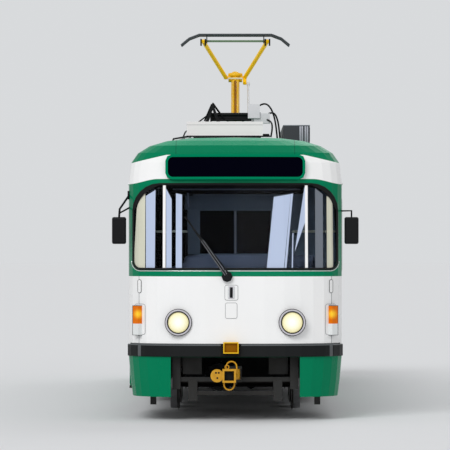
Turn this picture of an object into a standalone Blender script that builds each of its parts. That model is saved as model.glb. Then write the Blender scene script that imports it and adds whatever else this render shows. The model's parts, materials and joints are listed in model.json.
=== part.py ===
"""Four-axle city tram with folding doors, swivelling bogies and a single-arm pantograph.

Frame: metres, +Z up, the front faces -Y and the doors are on the car's right, which is -X.
z = 0 is the ground under the wheel flanges and the origin is the middle of the car.
"""
import math

import bmesh
import bpy
from mathutils import Matrix, Vector

# Fits and mesh quality
GAP = 0.0003
MERGE = 0.00001
OVERRUN = 0.05
BEARING_GAP = 0.0008
LUG_GAP = 0.002
AXLE_GAP = 0.002
EDGE_GAP = 0.002
PLAN_STEPS = 18
ROOF_STEPS = 6
TURN_STEPS = 16
LAMP_STEPS = 20
WHEEL_STEPS = 18
ROD_SIDES = 8
CORNER_STEPS = 2
LOOP_STEPS = 8
SMOOTH_ANGLE = math.radians(35)

# Body
HALF_LENGTH = 7.0
NOSE_REACH = 0.80
WINDSCREEN_LEAN = 0.20
SKIRT_TUCK = 0.06
HALF_WIDTH = 1.25
SKIRT_INSET = 0.047
BILGE_INSET = 0.022
SKIRT_HALF_WIDTH = HALF_WIDTH - SKIRT_INSET
BILGE_HALF_WIDTH = HALF_WIDTH - BILGE_INSET
SKIRT_Z = 0.275
BILGE_Z = 0.47
SILL_Z = 0.74
WAIST_Z = 1.67
GUTTER_Z = 2.76
CROWN_RISE = 0.534
CROWN_Z = GUTTER_Z + CROWN_RISE
GUTTER_REACH = 0.012
GUTTER_HEIGHT = 0.016
ARCH_HALF = 1.38
ARCH_TOP_HALF = 1.22
ARCH_TOP_Z = 0.50
WALL = 0.045
ROOF_EXPONENT_SHARE = 3.2
PLAN_EXPONENT_SHARE = 2.7
CAP_EXPONENT_SHARE = 2.4

# Floor and steps
FLOOR_Z = 0.90
FLOOR_THICKNESS = 0.04
STEP_Z = 0.38
STEP_RISE = 0.26
STEP_THICKNESS = 0.03
STEP_DEPTH = 0.34
STEP_SECOND_DEPTH = 0.26

# Doors
DOOR_NOSE_GAP = 0.75
DOOR_PITCH = HALF_LENGTH - NOSE_REACH - DOOR_NOSE_GAP
DOOR_WIDTH = 1.30
DOOR_BOTTOM_Z = 0.40
DOOR_HEAD = 0.20
DOOR_TOP_Z = GUTTER_Z - DOOR_HEAD
LEAF_THICKNESS = 0.030
LEAF_POST_GAP = 0.010
LEAF_PIVOT_INSET = 0.020
LEAF_HINGE_GAP = 0.004
LEAF_MIDDLE_GAP = 0.006
LEAF_RAIL = 0.055
LEAF_PANE = 0.008
LEAF_GLASS_Z = 1.32
LEAF_PIN = 0.012
BARREL_RADIUS = 0.005
BARREL_HEIGHT = 0.08
BARREL_FLAP = 0.025
BARREL_PLATE = 0.003
BARREL_COUNT = 2
TREAD_REACH = 0.005

# Windows
WINDOW_PITCH = 1.32
WINDOW_WIDTH = 1.16
WINDOW_BOTTOM_Z = 1.72
WINDOW_HEAD = 0.18
WINDOW_TOP_Z = GUTTER_Z - WINDOW_HEAD
WINDOW_CORNER = 0.09
BELT_THICKNESS = 0.018
BELT_MARGIN = 0.08
PANE_RECESS = 0.014
PANE_THICKNESS = 0.012
PANE_FRAME = 0.016
PANE_FIT = 0.001

# Windscreens
SCREEN_PILLAR = 0.07
SCREEN_HALF_WIDTH = HALF_WIDTH - SCREEN_PILLAR
SCREEN_BOTTOM_Z = 1.76
SCREEN_HEAD = 0.03
SCREEN_TOP_Z = GUTTER_Z - SCREEN_HEAD
SCREEN_CORNER = 0.08
SCREEN_SHOULDER = 0.30
SCREEN_INSET = 0.008
SCREEN_THICKNESS = 0.012
SCREEN_BAR = 0.031
SCREEN_BAR_X = 0.822
SCREEN_BAR_DEPTH = 0.034

# Destination box
SIGN_HALF_WIDTH = 0.81
SIGN_RISE = 0.03
SIGN_BOTTOM_Z = GUTTER_Z + SIGN_RISE
SIGN_HEIGHT = 0.29
SIGN_TOP_Z = SIGN_BOTTOM_Z + SIGN_HEIGHT
SIGN_SETBACK = 0.14
SIGN_FRONT = HALF_LENGTH - SIGN_SETBACK
SIGN_CORNER = 0.075
SIGN_SWEEP = 0.10
SIGN_DEPTH = 0.46
SIGN_BACK = SIGN_FRONT - SIGN_DEPTH
SIGN_BORDER = 0.030
SIGN_GLASS_DEPTH = 0.012

# Lamps
HEADLAMP_X = 0.656
HEADLAMP_Z = 1.139
HEADLAMP_RADIUS = 0.154
LENS_RADIUS = 0.119
LENS_RECESS = 0.012
LENS_DOME = 0.026
LAMP_PROUD = 0.011
LAMP_DEPTH = 0.20
INDICATOR_INSET = 0.136
INDICATOR_X = HALF_WIDTH - INDICATOR_INSET
INDICATOR_Z = 1.158
INDICATOR_WIDTH = 0.10
INDICATOR_HEIGHT = 0.335
INDICATOR_DEPTH = 0.055
INDICATOR_TURN = math.radians(50)
TAIL_X = 0.90
TAIL_Z = 1.20
TAIL_RADIUS = 0.060
TAIL_LENS = 0.048

# Bumper and socket
BUMPER_BOTTOM_Z = 0.742
BUMPER_TOP_Z = 0.88
BUMPER_DEPTH = 0.022
BUMPER_BEVEL = 0.010
BUMPER_WRAP = 0.10
BUMPER_END_Y = HALF_LENGTH - NOSE_REACH + BUMPER_WRAP
SOCKET_X = -0.05
SOCKET_BOTTOM_Z = 0.785
SOCKET_TOP_Z = 0.915
SOCKET_WIDTH = 0.175
SOCKET_DEPTH = 0.09
SOCKET_WALL = 0.012

# Mirrors
MIRROR_OUT = 0.102
MIRROR_X = HALF_WIDTH + MIRROR_OUT
MIRROR_AHEAD = 0.36
MIRROR_Y = -(HALF_LENGTH - NOSE_REACH + MIRROR_AHEAD)
MIRROR_Z = 2.20
MIRROR_WIDTH = 0.165
MIRROR_HEIGHT = 0.314
MIRROR_DEPTH = 0.07
MIRROR_ROD = 0.011
MIRROR_ROD_Z = 2.49
MIRROR_ROD_DROP = 0.09
MIRROR_LEVEL_Z = 2.43
MIRROR_BEVEL = 0.02
MIRROR_FOOT = 0.05
MIRROR_FOOT_AHEAD = 0.10
MIRROR_FOOT_Y = -(HALF_LENGTH - NOSE_REACH + MIRROR_FOOT_AHEAD)

# Wiper
WIPER_X = -0.095
WIPER_Z = 1.668
WIPER_TIP_X = -0.58
WIPER_TIP_Z = 2.36
WIPER_CLEAR = 0.035
WIPER_BOSS = 0.064
WIPER_ARM = 0.022
WIPER_SPREAD = 0.040
WIPER_JOIN = 0.12
WIPER_ROD = 0.008
WIPER_BLADE_LENGTH = 0.46
WIPER_BLADE = 0.010

# Underframe ends and couplers
SKIRT_OPEN_HALF = 0.745
POST_X = 0.682
POST_WIDTH = 0.092
POST_BOTTOM_Z = 0.362
POST_SETBACK = 0.26
POST_FRONT = HALF_LENGTH - POST_SETBACK
POST_DEPTH = 0.10
BEAM_BOTTOM_Z = 0.449
BEAM_TOP_Z = 0.50
DRAW_PIN_AHEAD = 0.10
DRAW_PIN_Y = POST_FRONT + DRAW_PIN_AHEAD
DRAW_PIN_RADIUS = 0.022
LUG_THICKNESS = 0.028
LUG_HALF_WIDTH = 0.075
LUG_TOP_Z = 0.63
EYE_RADIUS = 0.055
SHANK_RADIUS = 0.035
COUPLER_X = -0.07
COUPLER_Z = 0.53
COUPLER_REACH = 0.25
COUPLER_HEAD_Y = DRAW_PIN_Y + COUPLER_REACH
COUPLER_BLOCK = 0.155
COUPLER_BLOCK_DEPTH = 0.16
COUPLER_MOUTH_SHARE = 0.72
COUPLER_DRUM_X = -0.21
COUPLER_DRUM_RADIUS = 0.075
COUPLER_DRUM_DEPTH = 0.11
COUPLER_LOOP_WIRE = 0.009
COUPLER_LOOP_HALF = 0.060
COUPLER_LOOP_HEIGHT = 0.095
GUARD_X = 0.492
GUARD_WIDTH = 0.104
GUARD_DEPTH = 0.07
GUARD_BOTTOM_Z = 0.225
GUARD_LAP = 0.02
GUARD_BAR_Z = 0.293
GUARD_BAR_HEIGHT = 0.046
GUARD_BAR_DEPTH = 0.03
CHEST_X = 0.50
CHEST_WIDTH = 0.22
CHEST_BOTTOM_Z = 0.53
CHEST_SETBACK = 0.40
CHEST_DEPTH = 0.17
SANDER_X = 0.958
SANDER_WIDTH = 0.07
SANDER_SETBACK = 0.65
SANDER_THICKNESS = 0.02
SANDER_BOTTOM_Z = 0.167
SILL_BEAM_X = 0.42
SILL_BEAM_WIDTH = 0.10
SILL_BEAM_BOTTOM_Z = 0.76

# Bogies
BOGIE_Y = 3.20
AXLE_Y = 0.95
WHEEL_RADIUS = 0.35
TREAD_RADIUS = 0.328
FLANGE_X = 0.680
FLANGE_WIDTH = 0.030
TYRE_WIDTH = 0.115
TREAD_CONE = 0.004
WEB_WIDTH = 0.030
RIM_DEPTH = 0.045
HUB_RADIUS = 0.12
HUB_WIDTH = 0.13
AXLE_RADIUS = 0.065
FRAME_X = 0.50
FRAME_WIDTH = 0.12
FRAME_BOTTOM_Z = 0.44
FRAME_TOP_Z = 0.56
FRAME_HALF_LENGTH = 1.16
SLEEVE_RADIUS = 0.11
BOLSTER_HALF_WIDTH = 0.62
BOLSTER_HALF_LENGTH = 0.17
BOLSTER_TOP_Z = 0.67
BOLSTER_BOTTOM_Z = 0.385
PIVOT_RADIUS = 0.17
MOTOR_X = 0.20
MOTOR_RADIUS = 0.18
MOTOR_NEAR_Y = 0.19
MOTOR_FAR_Y = 0.80
MOTOR_Z = 0.40
BRAKE_X = 0.745
BRAKE_WIDTH = 0.075
BRAKE_HALF_LENGTH = 0.36
BRAKE_BOTTOM_Z = 0.035
BRAKE_TOP_Z = 0.15
BRAKE_HANGER = 0.03

# Pantograph
PANTO_Y = -2.00
LOWER_ARM = 1.12
UPPER_ARM = 1.35
LOWER_REST = math.radians(30.5)
UPPER_REST = math.radians(17.5)
TAIL_LENGTH = 0.112
TAIL_TURN = math.radians(115)
ROD_FOOT_BACK = 0.330
ROD_FOOT_DROP = 0.270
ROD_X = 0.170
ROD_RADIUS = 0.014
ROD_EYE = 0.026
ROD_EYE_HALF = 0.020
TAIL_PIN = 0.008
TAIL_BORE = 0.017
LOWER_TUBE = 0.055
UPPER_TUBE = 0.027
KNUCKLE_TUBE = 0.060
KNUCKLE_HALF = 0.090
UPPER_FOOT_X = 0.124
UPPER_TOP_X = 0.413
HEAD_HALF = 0.463
HORN_DROP = 0.135
HEAD_TOP = 0.090
HEAD_STRIP = 0.014
HORN_LENGTH = 0.232
HORN_KNEE_SHARE = 0.55
HEAD_STRIP_Y = 0.14
HEAD_TUBE = 0.014
HEAD_BRACKET_X = 0.36
HEAD_BRACKET = 0.012
BASE_HALF_WIDTH = 0.42
BASE_HALF_LENGTH = 0.55
BASE_TUBE = 0.03
BASE_RISE = 0.136
BASE_Z = CROWN_Z + BASE_RISE
PIVOT_RISE = 0.25
PANTO_Z = BASE_Z + PIVOT_RISE
STRUT_X = -0.29
STRUT_HALF = 0.16
STRUT_RISE = 0.43
STRUT_BAR = 0.05
STRUT_THICKNESS = 0.035
BASE_CROSS_TUBE = 0.024
FOOT_CROSS_AHEAD = 0.09
CHEEK_FOOT = 0.09
INSULATOR_RADIUS = 0.045
AXLE_TUBE = 0.045
AXLE_HALF = 0.085
CHEEK_THICKNESS = 0.028

# Roof equipment, whose feet start at a level under the roof's skin and are trimmed to it
ROOT_DEPTH = 0.244
ROOT_Z = CROWN_Z - ROOT_DEPTH
UNIT_X = -0.13
UNIT_HALF_WIDTH = 0.47
UNIT_FRONT_Y = -4.10
UNIT_LENGTH = 0.80
UNIT_BACK_Y = UNIT_FRONT_Y + UNIT_LENGTH
UNIT_RISE = 0.076
UNIT_BOTTOM_Z = CROWN_Z + UNIT_RISE
UNIT_HEIGHT = 0.186
UNIT_TOP_Z = UNIT_BOTTOM_Z + UNIT_HEIGHT
UNIT_FOOT = 0.10
UNIT_FOOT_X = 0.37
BANK_X = 0.765
BANK_HALF_WIDTH = 0.165
BANK_DROP = 0.004
BANK_BOTTOM_Z = CROWN_Z - BANK_DROP
BANK_HEIGHT = 0.24
BANK_TOP_Z = BANK_BOTTOM_Z + BANK_HEIGHT
BANK_FRONT_Y = -3.60
BANK_LENGTH = 0.92
BANK_PITCH = 1.02
BANK_COUNT = 4
BANK_RAIL = 0.03
BOX_X = 0.235
BOX_WIDTH = 0.15
BOX_RISE = 0.344
BOX_BOTTOM_Z = CROWN_Z + BOX_RISE
BOX_HEIGHT = 0.177
BOX_TOP_Z = BOX_BOTTOM_Z + BOX_HEIGHT
BOX_BEHIND = 0.35
BOX_Y = UNIT_BACK_Y + BOX_BEHIND
BOX_DEPTH = 0.20
SMALL_BOX_X = 0.381
SMALL_BOX_WIDTH = 0.114
SMALL_BOX_RISE = 0.28
SMALL_BOX_BOTTOM_Z = CROWN_Z + SMALL_BOX_RISE
SMALL_BOX_HEIGHT = 0.126
SMALL_BOX_TOP_Z = SMALL_BOX_BOTTOM_Z + SMALL_BOX_HEIGHT
BOX_POST = 0.06
DUCT_X = -0.70
DUCT_WIDTH = 0.20
DUCT_RISE = 0.07
DUCT_FALL = 0.04
DUCT_FRONT_Y = -3.45
DUCT_LENGTH = 6.00

# Cab and saloon
PARTITION_SETBACK = 0.58
PARTITION_Y = -(HALF_LENGTH - NOSE_REACH - PARTITION_SETBACK)
PARTITION_THICKNESS = 0.03
PARTITION_DOOR_SIDE_X = -0.50
PARTITION_WINDOW_HALF = 0.42
PARTITION_MULLION = 0.03
PARTITION_WINDOW_BOTTOM_Z = 1.93
PARTITION_WINDOW_TOP_Z = 2.44
DESK_SETBACK = 0.28
DESK_FRONT = HALF_LENGTH - DESK_SETBACK
DESK_DEPTH = 0.34
DESK_BACK = DESK_FRONT - DESK_DEPTH
DESK_TOP_Z = 1.74
DESK_HUMP_Z = 1.92
DESK_HUMP_HALF = 0.34
DESK_BOTTOM_Z = 1.52
DESK_FOOT_INSET = 0.04
DESK_HALF_WIDTH = 0.84
DESK_FOOT_HALF = 0.34
SEAT_WIDTH = 0.44
SEAT_DEPTH = 0.42
SEAT_Z = 1.33
SEAT_CUSHION = 0.06
SEAT_BACK_HEIGHT = 0.50
SEAT_BACK_THICKNESS = 0.05
SEAT_RAKE = 0.05
SEAT_SAG = 0.015
SEAT_PITCH = 0.80
SEAT_INSET = 0.37
SEAT_X = HALF_WIDTH - SEAT_INSET
SEAT_LEG = 0.020
PLINTH_GAP = 0.003
PLINTH_DEPTH = 0.16
LEFT_SEATS_Y = -4.60
RIGHT_FRONT_SEATS_Y = -4.40
RIGHT_REAR_SEATS_Y = 1.05
DRIVER_AHEAD = 0.40
DRIVER_Y = PARTITION_Y - DRIVER_AHEAD
DRIVER_X = 0.20
DRIVER_POST = 0.06
DRIVER_FOOT = 0.16
DRIVER_FOOT_THICKNESS = 0.02


def tint(code):
    """Linear colour from a hex code of an sRGB colour."""
    channels = [int(code[n:n + 2], 16) / 255 for n in (1, 3, 5)]
    return (*(c / 12.92 if c <= 0.04045 else ((c + 0.055) / 1.055) ** 2.4 for c in channels), 1)


def material(name, code, metallic, roughness):
    """Principled material with one plain colour."""
    finish = bpy.data.materials.new(name)
    finish.use_nodes = True
    shader = finish.node_tree.nodes["Principled BSDF"]
    shader.inputs["Base Color"].default_value = tint(code)
    shader.inputs["Metallic"].default_value = metallic
    shader.inputs["Roughness"].default_value = roughness
    return finish


def add_box(bm, low, high):
    """Box between two opposite corners."""
    low = Vector(low)
    high = Vector(high)
    place = Matrix.Translation((low + high) / 2) @ Matrix.Diagonal((*(high - low), 1))
    bmesh.ops.create_cube(bm, size=1, matrix=place)


def add_rod(bm, start, end, radius, sides=ROD_SIDES, tip=None):
    """Round bar from one point to another, tapered where it has a tip radius."""
    start = Vector(start)
    axis = Vector(end) - start
    turn = axis.to_track_quat("Z", "Y").to_matrix().to_4x4()
    place = Matrix.Translation(start + axis / 2) @ turn
    bmesh.ops.create_cone(bm, cap_ends=True, segments=sides, radius1=radius,
                          radius2=tip or radius, depth=axis.length, matrix=place)


def take(bm, guide, place):
    """Add the evaluated mesh of a guide object, welded and placed, and remove the guide."""
    bpy.context.scene.collection.objects.link(guide)
    bpy.context.view_layer.update()
    source = guide.data
    mesh = bpy.data.meshes.new_from_object(
        guide.evaluated_get(bpy.context.evaluated_depsgraph_get()))
    mesh.transform(place)
    shape = bmesh.new()
    shape.from_mesh(mesh)
    bmesh.ops.remove_doubles(shape, verts=shape.verts, dist=MERGE)
    shape.to_mesh(mesh)
    shape.free()
    bm.from_mesh(mesh)
    bpy.data.objects.remove(guide)
    bpy.data.meshes.remove(mesh)
    if isinstance(source, bpy.types.Curve):
        bpy.data.curves.remove(source)
    else:
        bpy.data.meshes.remove(source)


# What an outline's two coordinates mean when it is extruded along each axis
EXTRUSIONS = {
    "X": Matrix(((0, 0, 1, 0), (1, 0, 0, 0), (0, 1, 0, 0), (0, 0, 0, 1))),
    "Y": Matrix(((1, 0, 0, 0), (0, 0, -1, 0), (0, 1, 0, 0), (0, 0, 0, 1))),
    "Z": Matrix.Identity(4),
}
DIRECTIONS = {"X": Vector((1, 0, 0)), "Y": Vector((0, 1, 0)), "Z": Vector((0, 0, 1))}


def add_prism(bm, outline, axis, low, high):
    """Flat outline extruded from low to high along X (y, z), Y (x, z) or Z (x, y)."""
    curve = bpy.data.curves.new("outline", "CURVE")
    curve.dimensions = "2D"
    curve.fill_mode = "BOTH"
    curve.extrude = (high - low) / 2
    spline = curve.splines.new("POLY")
    spline.points.add(len(outline) - 1)
    for point, (u, v) in zip(spline.points, outline):
        point.co = (u, v, 0, 1)
    spline.use_cyclic_u = True
    middle = DIRECTIONS[axis] * (low + high) / 2
    take(bm, bpy.data.objects.new("outline", curve),
         Matrix.Translation(middle) @ EXTRUSIONS[axis])


def add_tube(bm, points, radius, closed=False):
    """Bent round tube through a short list of points."""
    curve = bpy.data.curves.new("tube", "CURVE")
    curve.dimensions = "3D"
    curve.bevel_depth = radius
    curve.bevel_resolution = 1
    curve.use_fill_caps = not closed
    spline = curve.splines.new("POLY")
    spline.points.add(len(points) - 1)
    for point, co in zip(spline.points, points):
        point.co = (*co, 1)
    spline.use_cyclic_u = closed
    take(bm, bpy.data.objects.new("tube", curve), Matrix.Identity(4))


def add_turned(bm, profile, place, steps=TURN_STEPS):
    """Profile of (radius, height) points from the top down, turned about local Z."""
    mesh = bpy.data.meshes.new("profile")
    mesh.from_pydata([(r, 0, z) for r, z in profile],
                     [(n, n + 1) for n in range(len(profile) - 1)], [])
    guide = bpy.data.objects.new("profile", mesh)
    screw = guide.modifiers.new("Turn", "SCREW")
    screw.steps = steps
    screw.render_steps = steps
    screw.use_merge_vertices = True
    screw.merge_threshold = MERGE
    take(bm, guide, place)


def solid(add, *arguments, **options):
    """One new mesh holding a single added shape."""
    bm = bmesh.new()
    add(bm, *arguments, **options)
    return bm


def place_mesh(holder, name, bm, pivot):
    """Put a finished mesh in a collection with its origin on the pivot."""
    bmesh.ops.recalc_face_normals(bm, faces=bm.faces)
    bm.transform(Matrix.Translation(-Vector(pivot)))
    mesh = bpy.data.meshes.new(name)
    bm.to_mesh(mesh)
    bm.free()
    body = bpy.data.objects.new(name, mesh)
    body.location = pivot
    holder.objects.link(body)
    return body


def part(name, bm, finish, pivot=(0, 0, 0)):
    """A named piece of the tram."""
    body = place_mesh(parts, name, bm, pivot)
    body.data.materials.append(finish)
    body.data.shade_smooth()
    body.data.set_sharp_from_angle(angle=SMOOTH_ANGLE)
    return body


def operand(body, bm):
    """A hidden shape that joins or cuts a piece."""
    shape = place_mesh(cutters, body.name + "_shape", bm, (0, 0, 0))
    shape.hide_render = True
    shape.display_type = "WIRE"
    return shape


def boolean(body, operation, shape):
    """Boolean modifier with one hidden shape."""
    step = body.modifiers.new(operation.title(), "BOOLEAN")
    step.operation = operation
    step.solver = "EXACT"
    step.object = shape
    return body


def join(body, *meshes):
    """Fuse further solids to a piece, one after the other."""
    for bm in meshes:
        boolean(body, "UNION", operand(body, bm))
    return body


def cut(body, *meshes):
    """Cut solids out of a piece, one after the other."""
    for bm in meshes:
        boolean(body, "DIFFERENCE", operand(body, bm))
    return body


def rounded(low_u, high_u, low_v, high_v, lower, upper):
    """Rectangle outline with one radius on its lower and one on its upper corners."""
    corners = (
        (high_u - lower, low_v + lower, lower, -90), (high_u - upper, high_v - upper, upper, 0),
        (low_u + upper, high_v - upper, upper, 90), (low_u + lower, low_v + lower, lower, 180),
    )
    outline = []
    for centre_u, centre_v, radius, start in corners:
        for step in range(CORNER_STEPS + 1):
            angle = math.radians(start + 90 * step / CORNER_STEPS)
            outline.append((centre_u + radius * math.cos(angle),
                            centre_v + radius * math.sin(angle)))
    return outline


def power(value, exponent):
    """Rounded-off power of a sine or cosine that may be slightly negative."""
    return max(value, 0) ** exponent


def plan_curve(half_width, reach, steps=PLAN_STEPS):
    """Plan of a car end as (x, reach) from the +X side round the nose to the -X side."""
    points = []
    for step in range(steps + 1):
        turn = math.pi * step / steps
        across = math.copysign(power(abs(math.cos(turn)), 2 / PLAN_EXPONENT_SHARE),
                               math.cos(turn))
        points.append((half_width * across,
                       reach * power(math.sin(turn), 2 / PLAN_EXPONENT_SHARE)))
    return points


def sections(inset):
    """Height, half width and nose reach of each level of the body, inset from its skin."""
    levels = [
        (SKIRT_Z, SKIRT_HALF_WIDTH - inset, NOSE_REACH - SKIRT_TUCK - inset),
        (BILGE_Z, BILGE_HALF_WIDTH - inset, NOSE_REACH - SKIRT_TUCK / 2 - inset),
        (SILL_Z, HALF_WIDTH - inset, NOSE_REACH - inset),
        (WAIST_Z, HALF_WIDTH - inset, NOSE_REACH - inset),
    ]
    cap_reach = NOSE_REACH - WINDSCREEN_LEAN - inset
    for step in range(ROOF_STEPS + 1):
        turn = math.pi / 2 * step / ROOF_STEPS
        rise = power(math.sin(turn), 2 / ROOF_EXPONENT_SHARE)
        width = power(math.cos(turn), 2 / ROOF_EXPONENT_SHARE) if step < ROOF_STEPS else 0
        depth = power(1 - rise ** CAP_EXPONENT_SHARE, 1 / CAP_EXPONENT_SHARE)
        levels.append((GUTTER_Z + (CROWN_Z - inset - GUTTER_Z) * rise,
                       (HALF_WIDTH - inset) * width, cap_reach * depth))
    return levels


JOINT_Y = HALF_LENGTH - NOSE_REACH


def nose_grid(inset, side):
    """Rows of points over a car end, side -1 for the front and 1 for the rear."""
    return [[Vector((x, side * (JOINT_Y + y), z)) for x, y in plan_curve(width, reach)]
            for z, width, reach in sections(inset)]


def close_grid(bm):
    """Weld the crown's pole and split every patch along the same diagonal."""
    bmesh.ops.remove_doubles(bm, verts=bm.verts, dist=MERGE)
    patches = [face for face in bm.faces if len(face.verts) == 4]
    bmesh.ops.triangulate(bm, faces=patches, quad_method="FIXED")


def add_nose(bm, outer_inset, inner_inset, side):
    """Closed shell of a car end between two insets from its skin."""
    outer, inner = ([[bm.verts.new(point) for point in row] for row in nose_grid(inset, side)]
                    for inset in (outer_inset, inner_inset))
    for low, high in zip(range(len(outer) - 1), range(1, len(outer))):
        for left, right in zip(range(PLAN_STEPS), range(1, PLAN_STEPS + 1)):
            for grid in (outer, inner):
                bm.faces.new((grid[low][left], grid[low][right],
                              grid[high][right], grid[high][left]))
        for edge in (0, PLAN_STEPS):
            bm.faces.new((outer[low][edge], outer[high][edge],
                          inner[high][edge], inner[low][edge]))
    for left, right in zip(range(PLAN_STEPS), range(1, PLAN_STEPS + 1)):
        bm.faces.new((outer[0][left], outer[0][right], inner[0][right], inner[0][left]))
    close_grid(bm)


def add_nose_solid(bm, inset, side):
    """The full volume of a car end inside its skin, for trimming what sits on it."""
    grid = [[bm.verts.new(point) for point in row] for row in nose_grid(inset, side)]
    for low, high in zip(range(len(grid) - 1), range(1, len(grid))):
        for left, right in zip(range(PLAN_STEPS), range(1, PLAN_STEPS + 1)):
            bm.faces.new((grid[low][left], grid[low][right], grid[high][right], grid[high][left]))
    bm.faces.new(grid[0])
    bm.faces.new([row[0] for row in grid] + [row[-1] for row in reversed(grid[:-1])])
    close_grid(bm)


def skin_y(x, z, inset=0):
    """How far from the middle of the car the end's skin lies at a point of its elevation."""
    levels = sections(inset)
    for (low_z, low_w, low_r), (high_z, high_w, high_r) in zip(levels, levels[1:]):
        if z <= high_z:
            share = (z - low_z) / (high_z - low_z)
            width = low_w + (high_w - low_w) * share
            reach = low_r + (high_r - low_r) * share
            return JOINT_Y + reach * power(1 - (abs(x) / width) ** PLAN_EXPONENT_SHARE,
                                           1 / PLAN_EXPONENT_SHARE)
    return JOINT_Y


def wall_outline(sign):
    """Section of a side wall, its inner face then its skin, as (x, z)."""
    wall = [level for level in sections(0) if level[0] <= GUTTER_Z]
    wall[-1] = (GUTTER_Z - GAP, wall[-1][1], 0)
    outline = [(sign * (width - WALL), z) for z, width, _ in wall]
    top, width, _ = wall[-1]
    outline += [(sign * width, top), (sign * (width + GUTTER_REACH), top),
                (sign * (width + GUTTER_REACH), top - GUTTER_HEIGHT),
                (sign * width, top - GUTTER_HEIGHT - GUTTER_REACH)]
    return outline + [(sign * width, z) for z, width, _ in reversed(wall[:-1])]


def roof_outline():
    """Section of the roof shell as (x, z)."""
    skins = []
    for inset in (0, WALL):
        half = [(width, z) for z, width, _ in sections(inset) if z >= GUTTER_Z]
        skins.append(half + [(-x, z) for x, z in reversed(half[:-1])])
    return skins[0] + skins[1][::-1]


DOOR_CENTRES = (-DOOR_PITCH, 0, DOOR_PITCH)
RIGHT_WINDOWS = [bay + step * WINDOW_PITCH for bay in (-DOOR_PITCH / 2, DOOR_PITCH / 2)
                 for step in (-1, 0, 1)]
LEFT_WINDOWS = RIGHT_WINDOWS + list(DOOR_CENTRES)
END_Y = JOINT_Y - GAP


def add_window_shapes(bm, centres, margin, low, high, sign):
    """Rounded window outlines extruded across a side wall."""
    half = WINDOW_WIDTH / 2 + margin
    for centre in centres:
        add_prism(bm, rounded(centre - half, centre + half, WINDOW_BOTTOM_Z - margin,
                              WINDOW_TOP_Z + margin, WINDOW_CORNER + margin,
                              WINDOW_CORNER + margin),
                  "X", *sorted((sign * low, sign * high)))


def side_wall(name, sign, windows, doorways, finish):
    """Side wall with its windows, and its doorways where it has them."""
    wall = part(name, solid(add_prism, wall_outline(sign), "Y", -END_Y, END_Y), finish)
    panes = bmesh.new()
    add_window_shapes(panes, windows, 0, HALF_WIDTH - WALL - OVERRUN, HALF_WIDTH + OVERRUN, sign)
    arches = bmesh.new()
    for side in (-1, 1):
        middle = side * BOGIE_Y
        add_prism(arches, [
            (middle - ARCH_HALF, SKIRT_Z - OVERRUN), (middle + ARCH_HALF, SKIRT_Z - OVERRUN),
            (middle + ARCH_TOP_HALF, ARCH_TOP_Z), (middle - ARCH_TOP_HALF, ARCH_TOP_Z)], "X",
            *sorted((sign * (SKIRT_HALF_WIDTH - WALL - OVERRUN), sign * (HALF_WIDTH + OVERRUN))))
    cut(wall, panes, arches)
    if doorways:
        openings = bmesh.new()
        for centre in doorways:
            add_box(openings,
                    (-HALF_WIDTH - OVERRUN, centre - DOOR_WIDTH / 2, STEP_Z - STEP_THICKNESS),
                    (-SKIRT_HALF_WIDTH + WALL + OVERRUN, centre + DOOR_WIDTH / 2,
                     DOOR_TOP_Z + LEAF_POST_GAP))
        cut(wall, openings)
    return wall


def window_belt(name, sign, windows, start, end, finish):
    """Lining panel that carries the panes of one run of windows."""
    inner_face = HALF_WIDTH - WALL - GAP
    lining = inner_face - BELT_THICKNESS
    front = HALF_WIDTH - PANE_RECESS
    belt = part(name, solid(add_box,
                            (min(sign * lining, sign * inner_face), start,
                             WINDOW_BOTTOM_Z - BELT_MARGIN),
                            (max(sign * lining, sign * inner_face), end,
                             WINDOW_TOP_Z + BELT_MARGIN)), finish)
    frames = bmesh.new()
    add_window_shapes(frames, windows, -PANE_FIT, (lining + inner_face) / 2, front, sign)
    join(belt, frames)
    pockets = bmesh.new()
    add_window_shapes(pockets, windows, -PANE_FIT - PANE_FRAME, lining - OVERRUN,
                      front - PANE_THICKNESS, sign)
    return cut(belt, pockets)


def screen_outline(margin):
    """Windscreen opening as (x, z), grown by a margin."""
    half = SCREEN_HALF_WIDTH + margin
    return rounded(-half, half, SCREEN_BOTTOM_Z - margin, SCREEN_TOP_Z + margin,
                   SCREEN_CORNER + margin, SCREEN_SHOULDER + margin)


def reach_of(side, near, far):
    """Ascending pair of y values for distances from the middle towards one end."""
    return sorted((side * near, side * far))


def car_end(name, side, finish):
    """Rounded end of the body with its wraparound screen and its open coupler space."""
    shell = part(name, solid(add_nose, 0, WALL, side), finish)
    span = reach_of(side, JOINT_Y + OVERRUN, HALF_LENGTH + OVERRUN)
    cut(shell, solid(add_prism, screen_outline(0), "Y", *span))
    low_y, high_y = reach_of(side, JOINT_Y + NOSE_REACH / 2, HALF_LENGTH + OVERRUN)
    return cut(shell, solid(add_box, (-SKIRT_OPEN_HALF, low_y, SKIRT_Z - OVERRUN),
                            (SKIRT_OPEN_HALF, high_y, SILL_Z)))


def screen_glazing(name, side, finish):
    """Three panes of a wraparound screen joined by the two bars between them."""
    span = reach_of(side, JOINT_Y + OVERRUN, HALF_LENGTH + OVERRUN)
    pane = part(name, solid(add_nose, SCREEN_INSET, SCREEN_INSET + SCREEN_THICKNESS, side),
                finish)
    boolean(pane, "INTERSECT",
            operand(pane, solid(add_prism, screen_outline(-PANE_FIT), "Y", *span)))
    bars = bmesh.new()
    for sign in (-1, 1):
        middle = sign * SCREEN_BAR_X
        add_box(bars, (middle - SCREEN_BAR / 2, span[0], SCREEN_BOTTOM_Z + EDGE_GAP),
                (middle + SCREEN_BAR / 2, span[1], SCREEN_TOP_Z - EDGE_GAP))
    shaped = operand(pane, bars)
    shaped.name = name + "_bars"
    boolean(shaped, "INTERSECT",
            operand(pane, solid(add_nose, -PANE_FIT, SCREEN_BAR_DEPTH, side)))
    boolean(pane, "UNION", shaped)
    return pane


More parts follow.
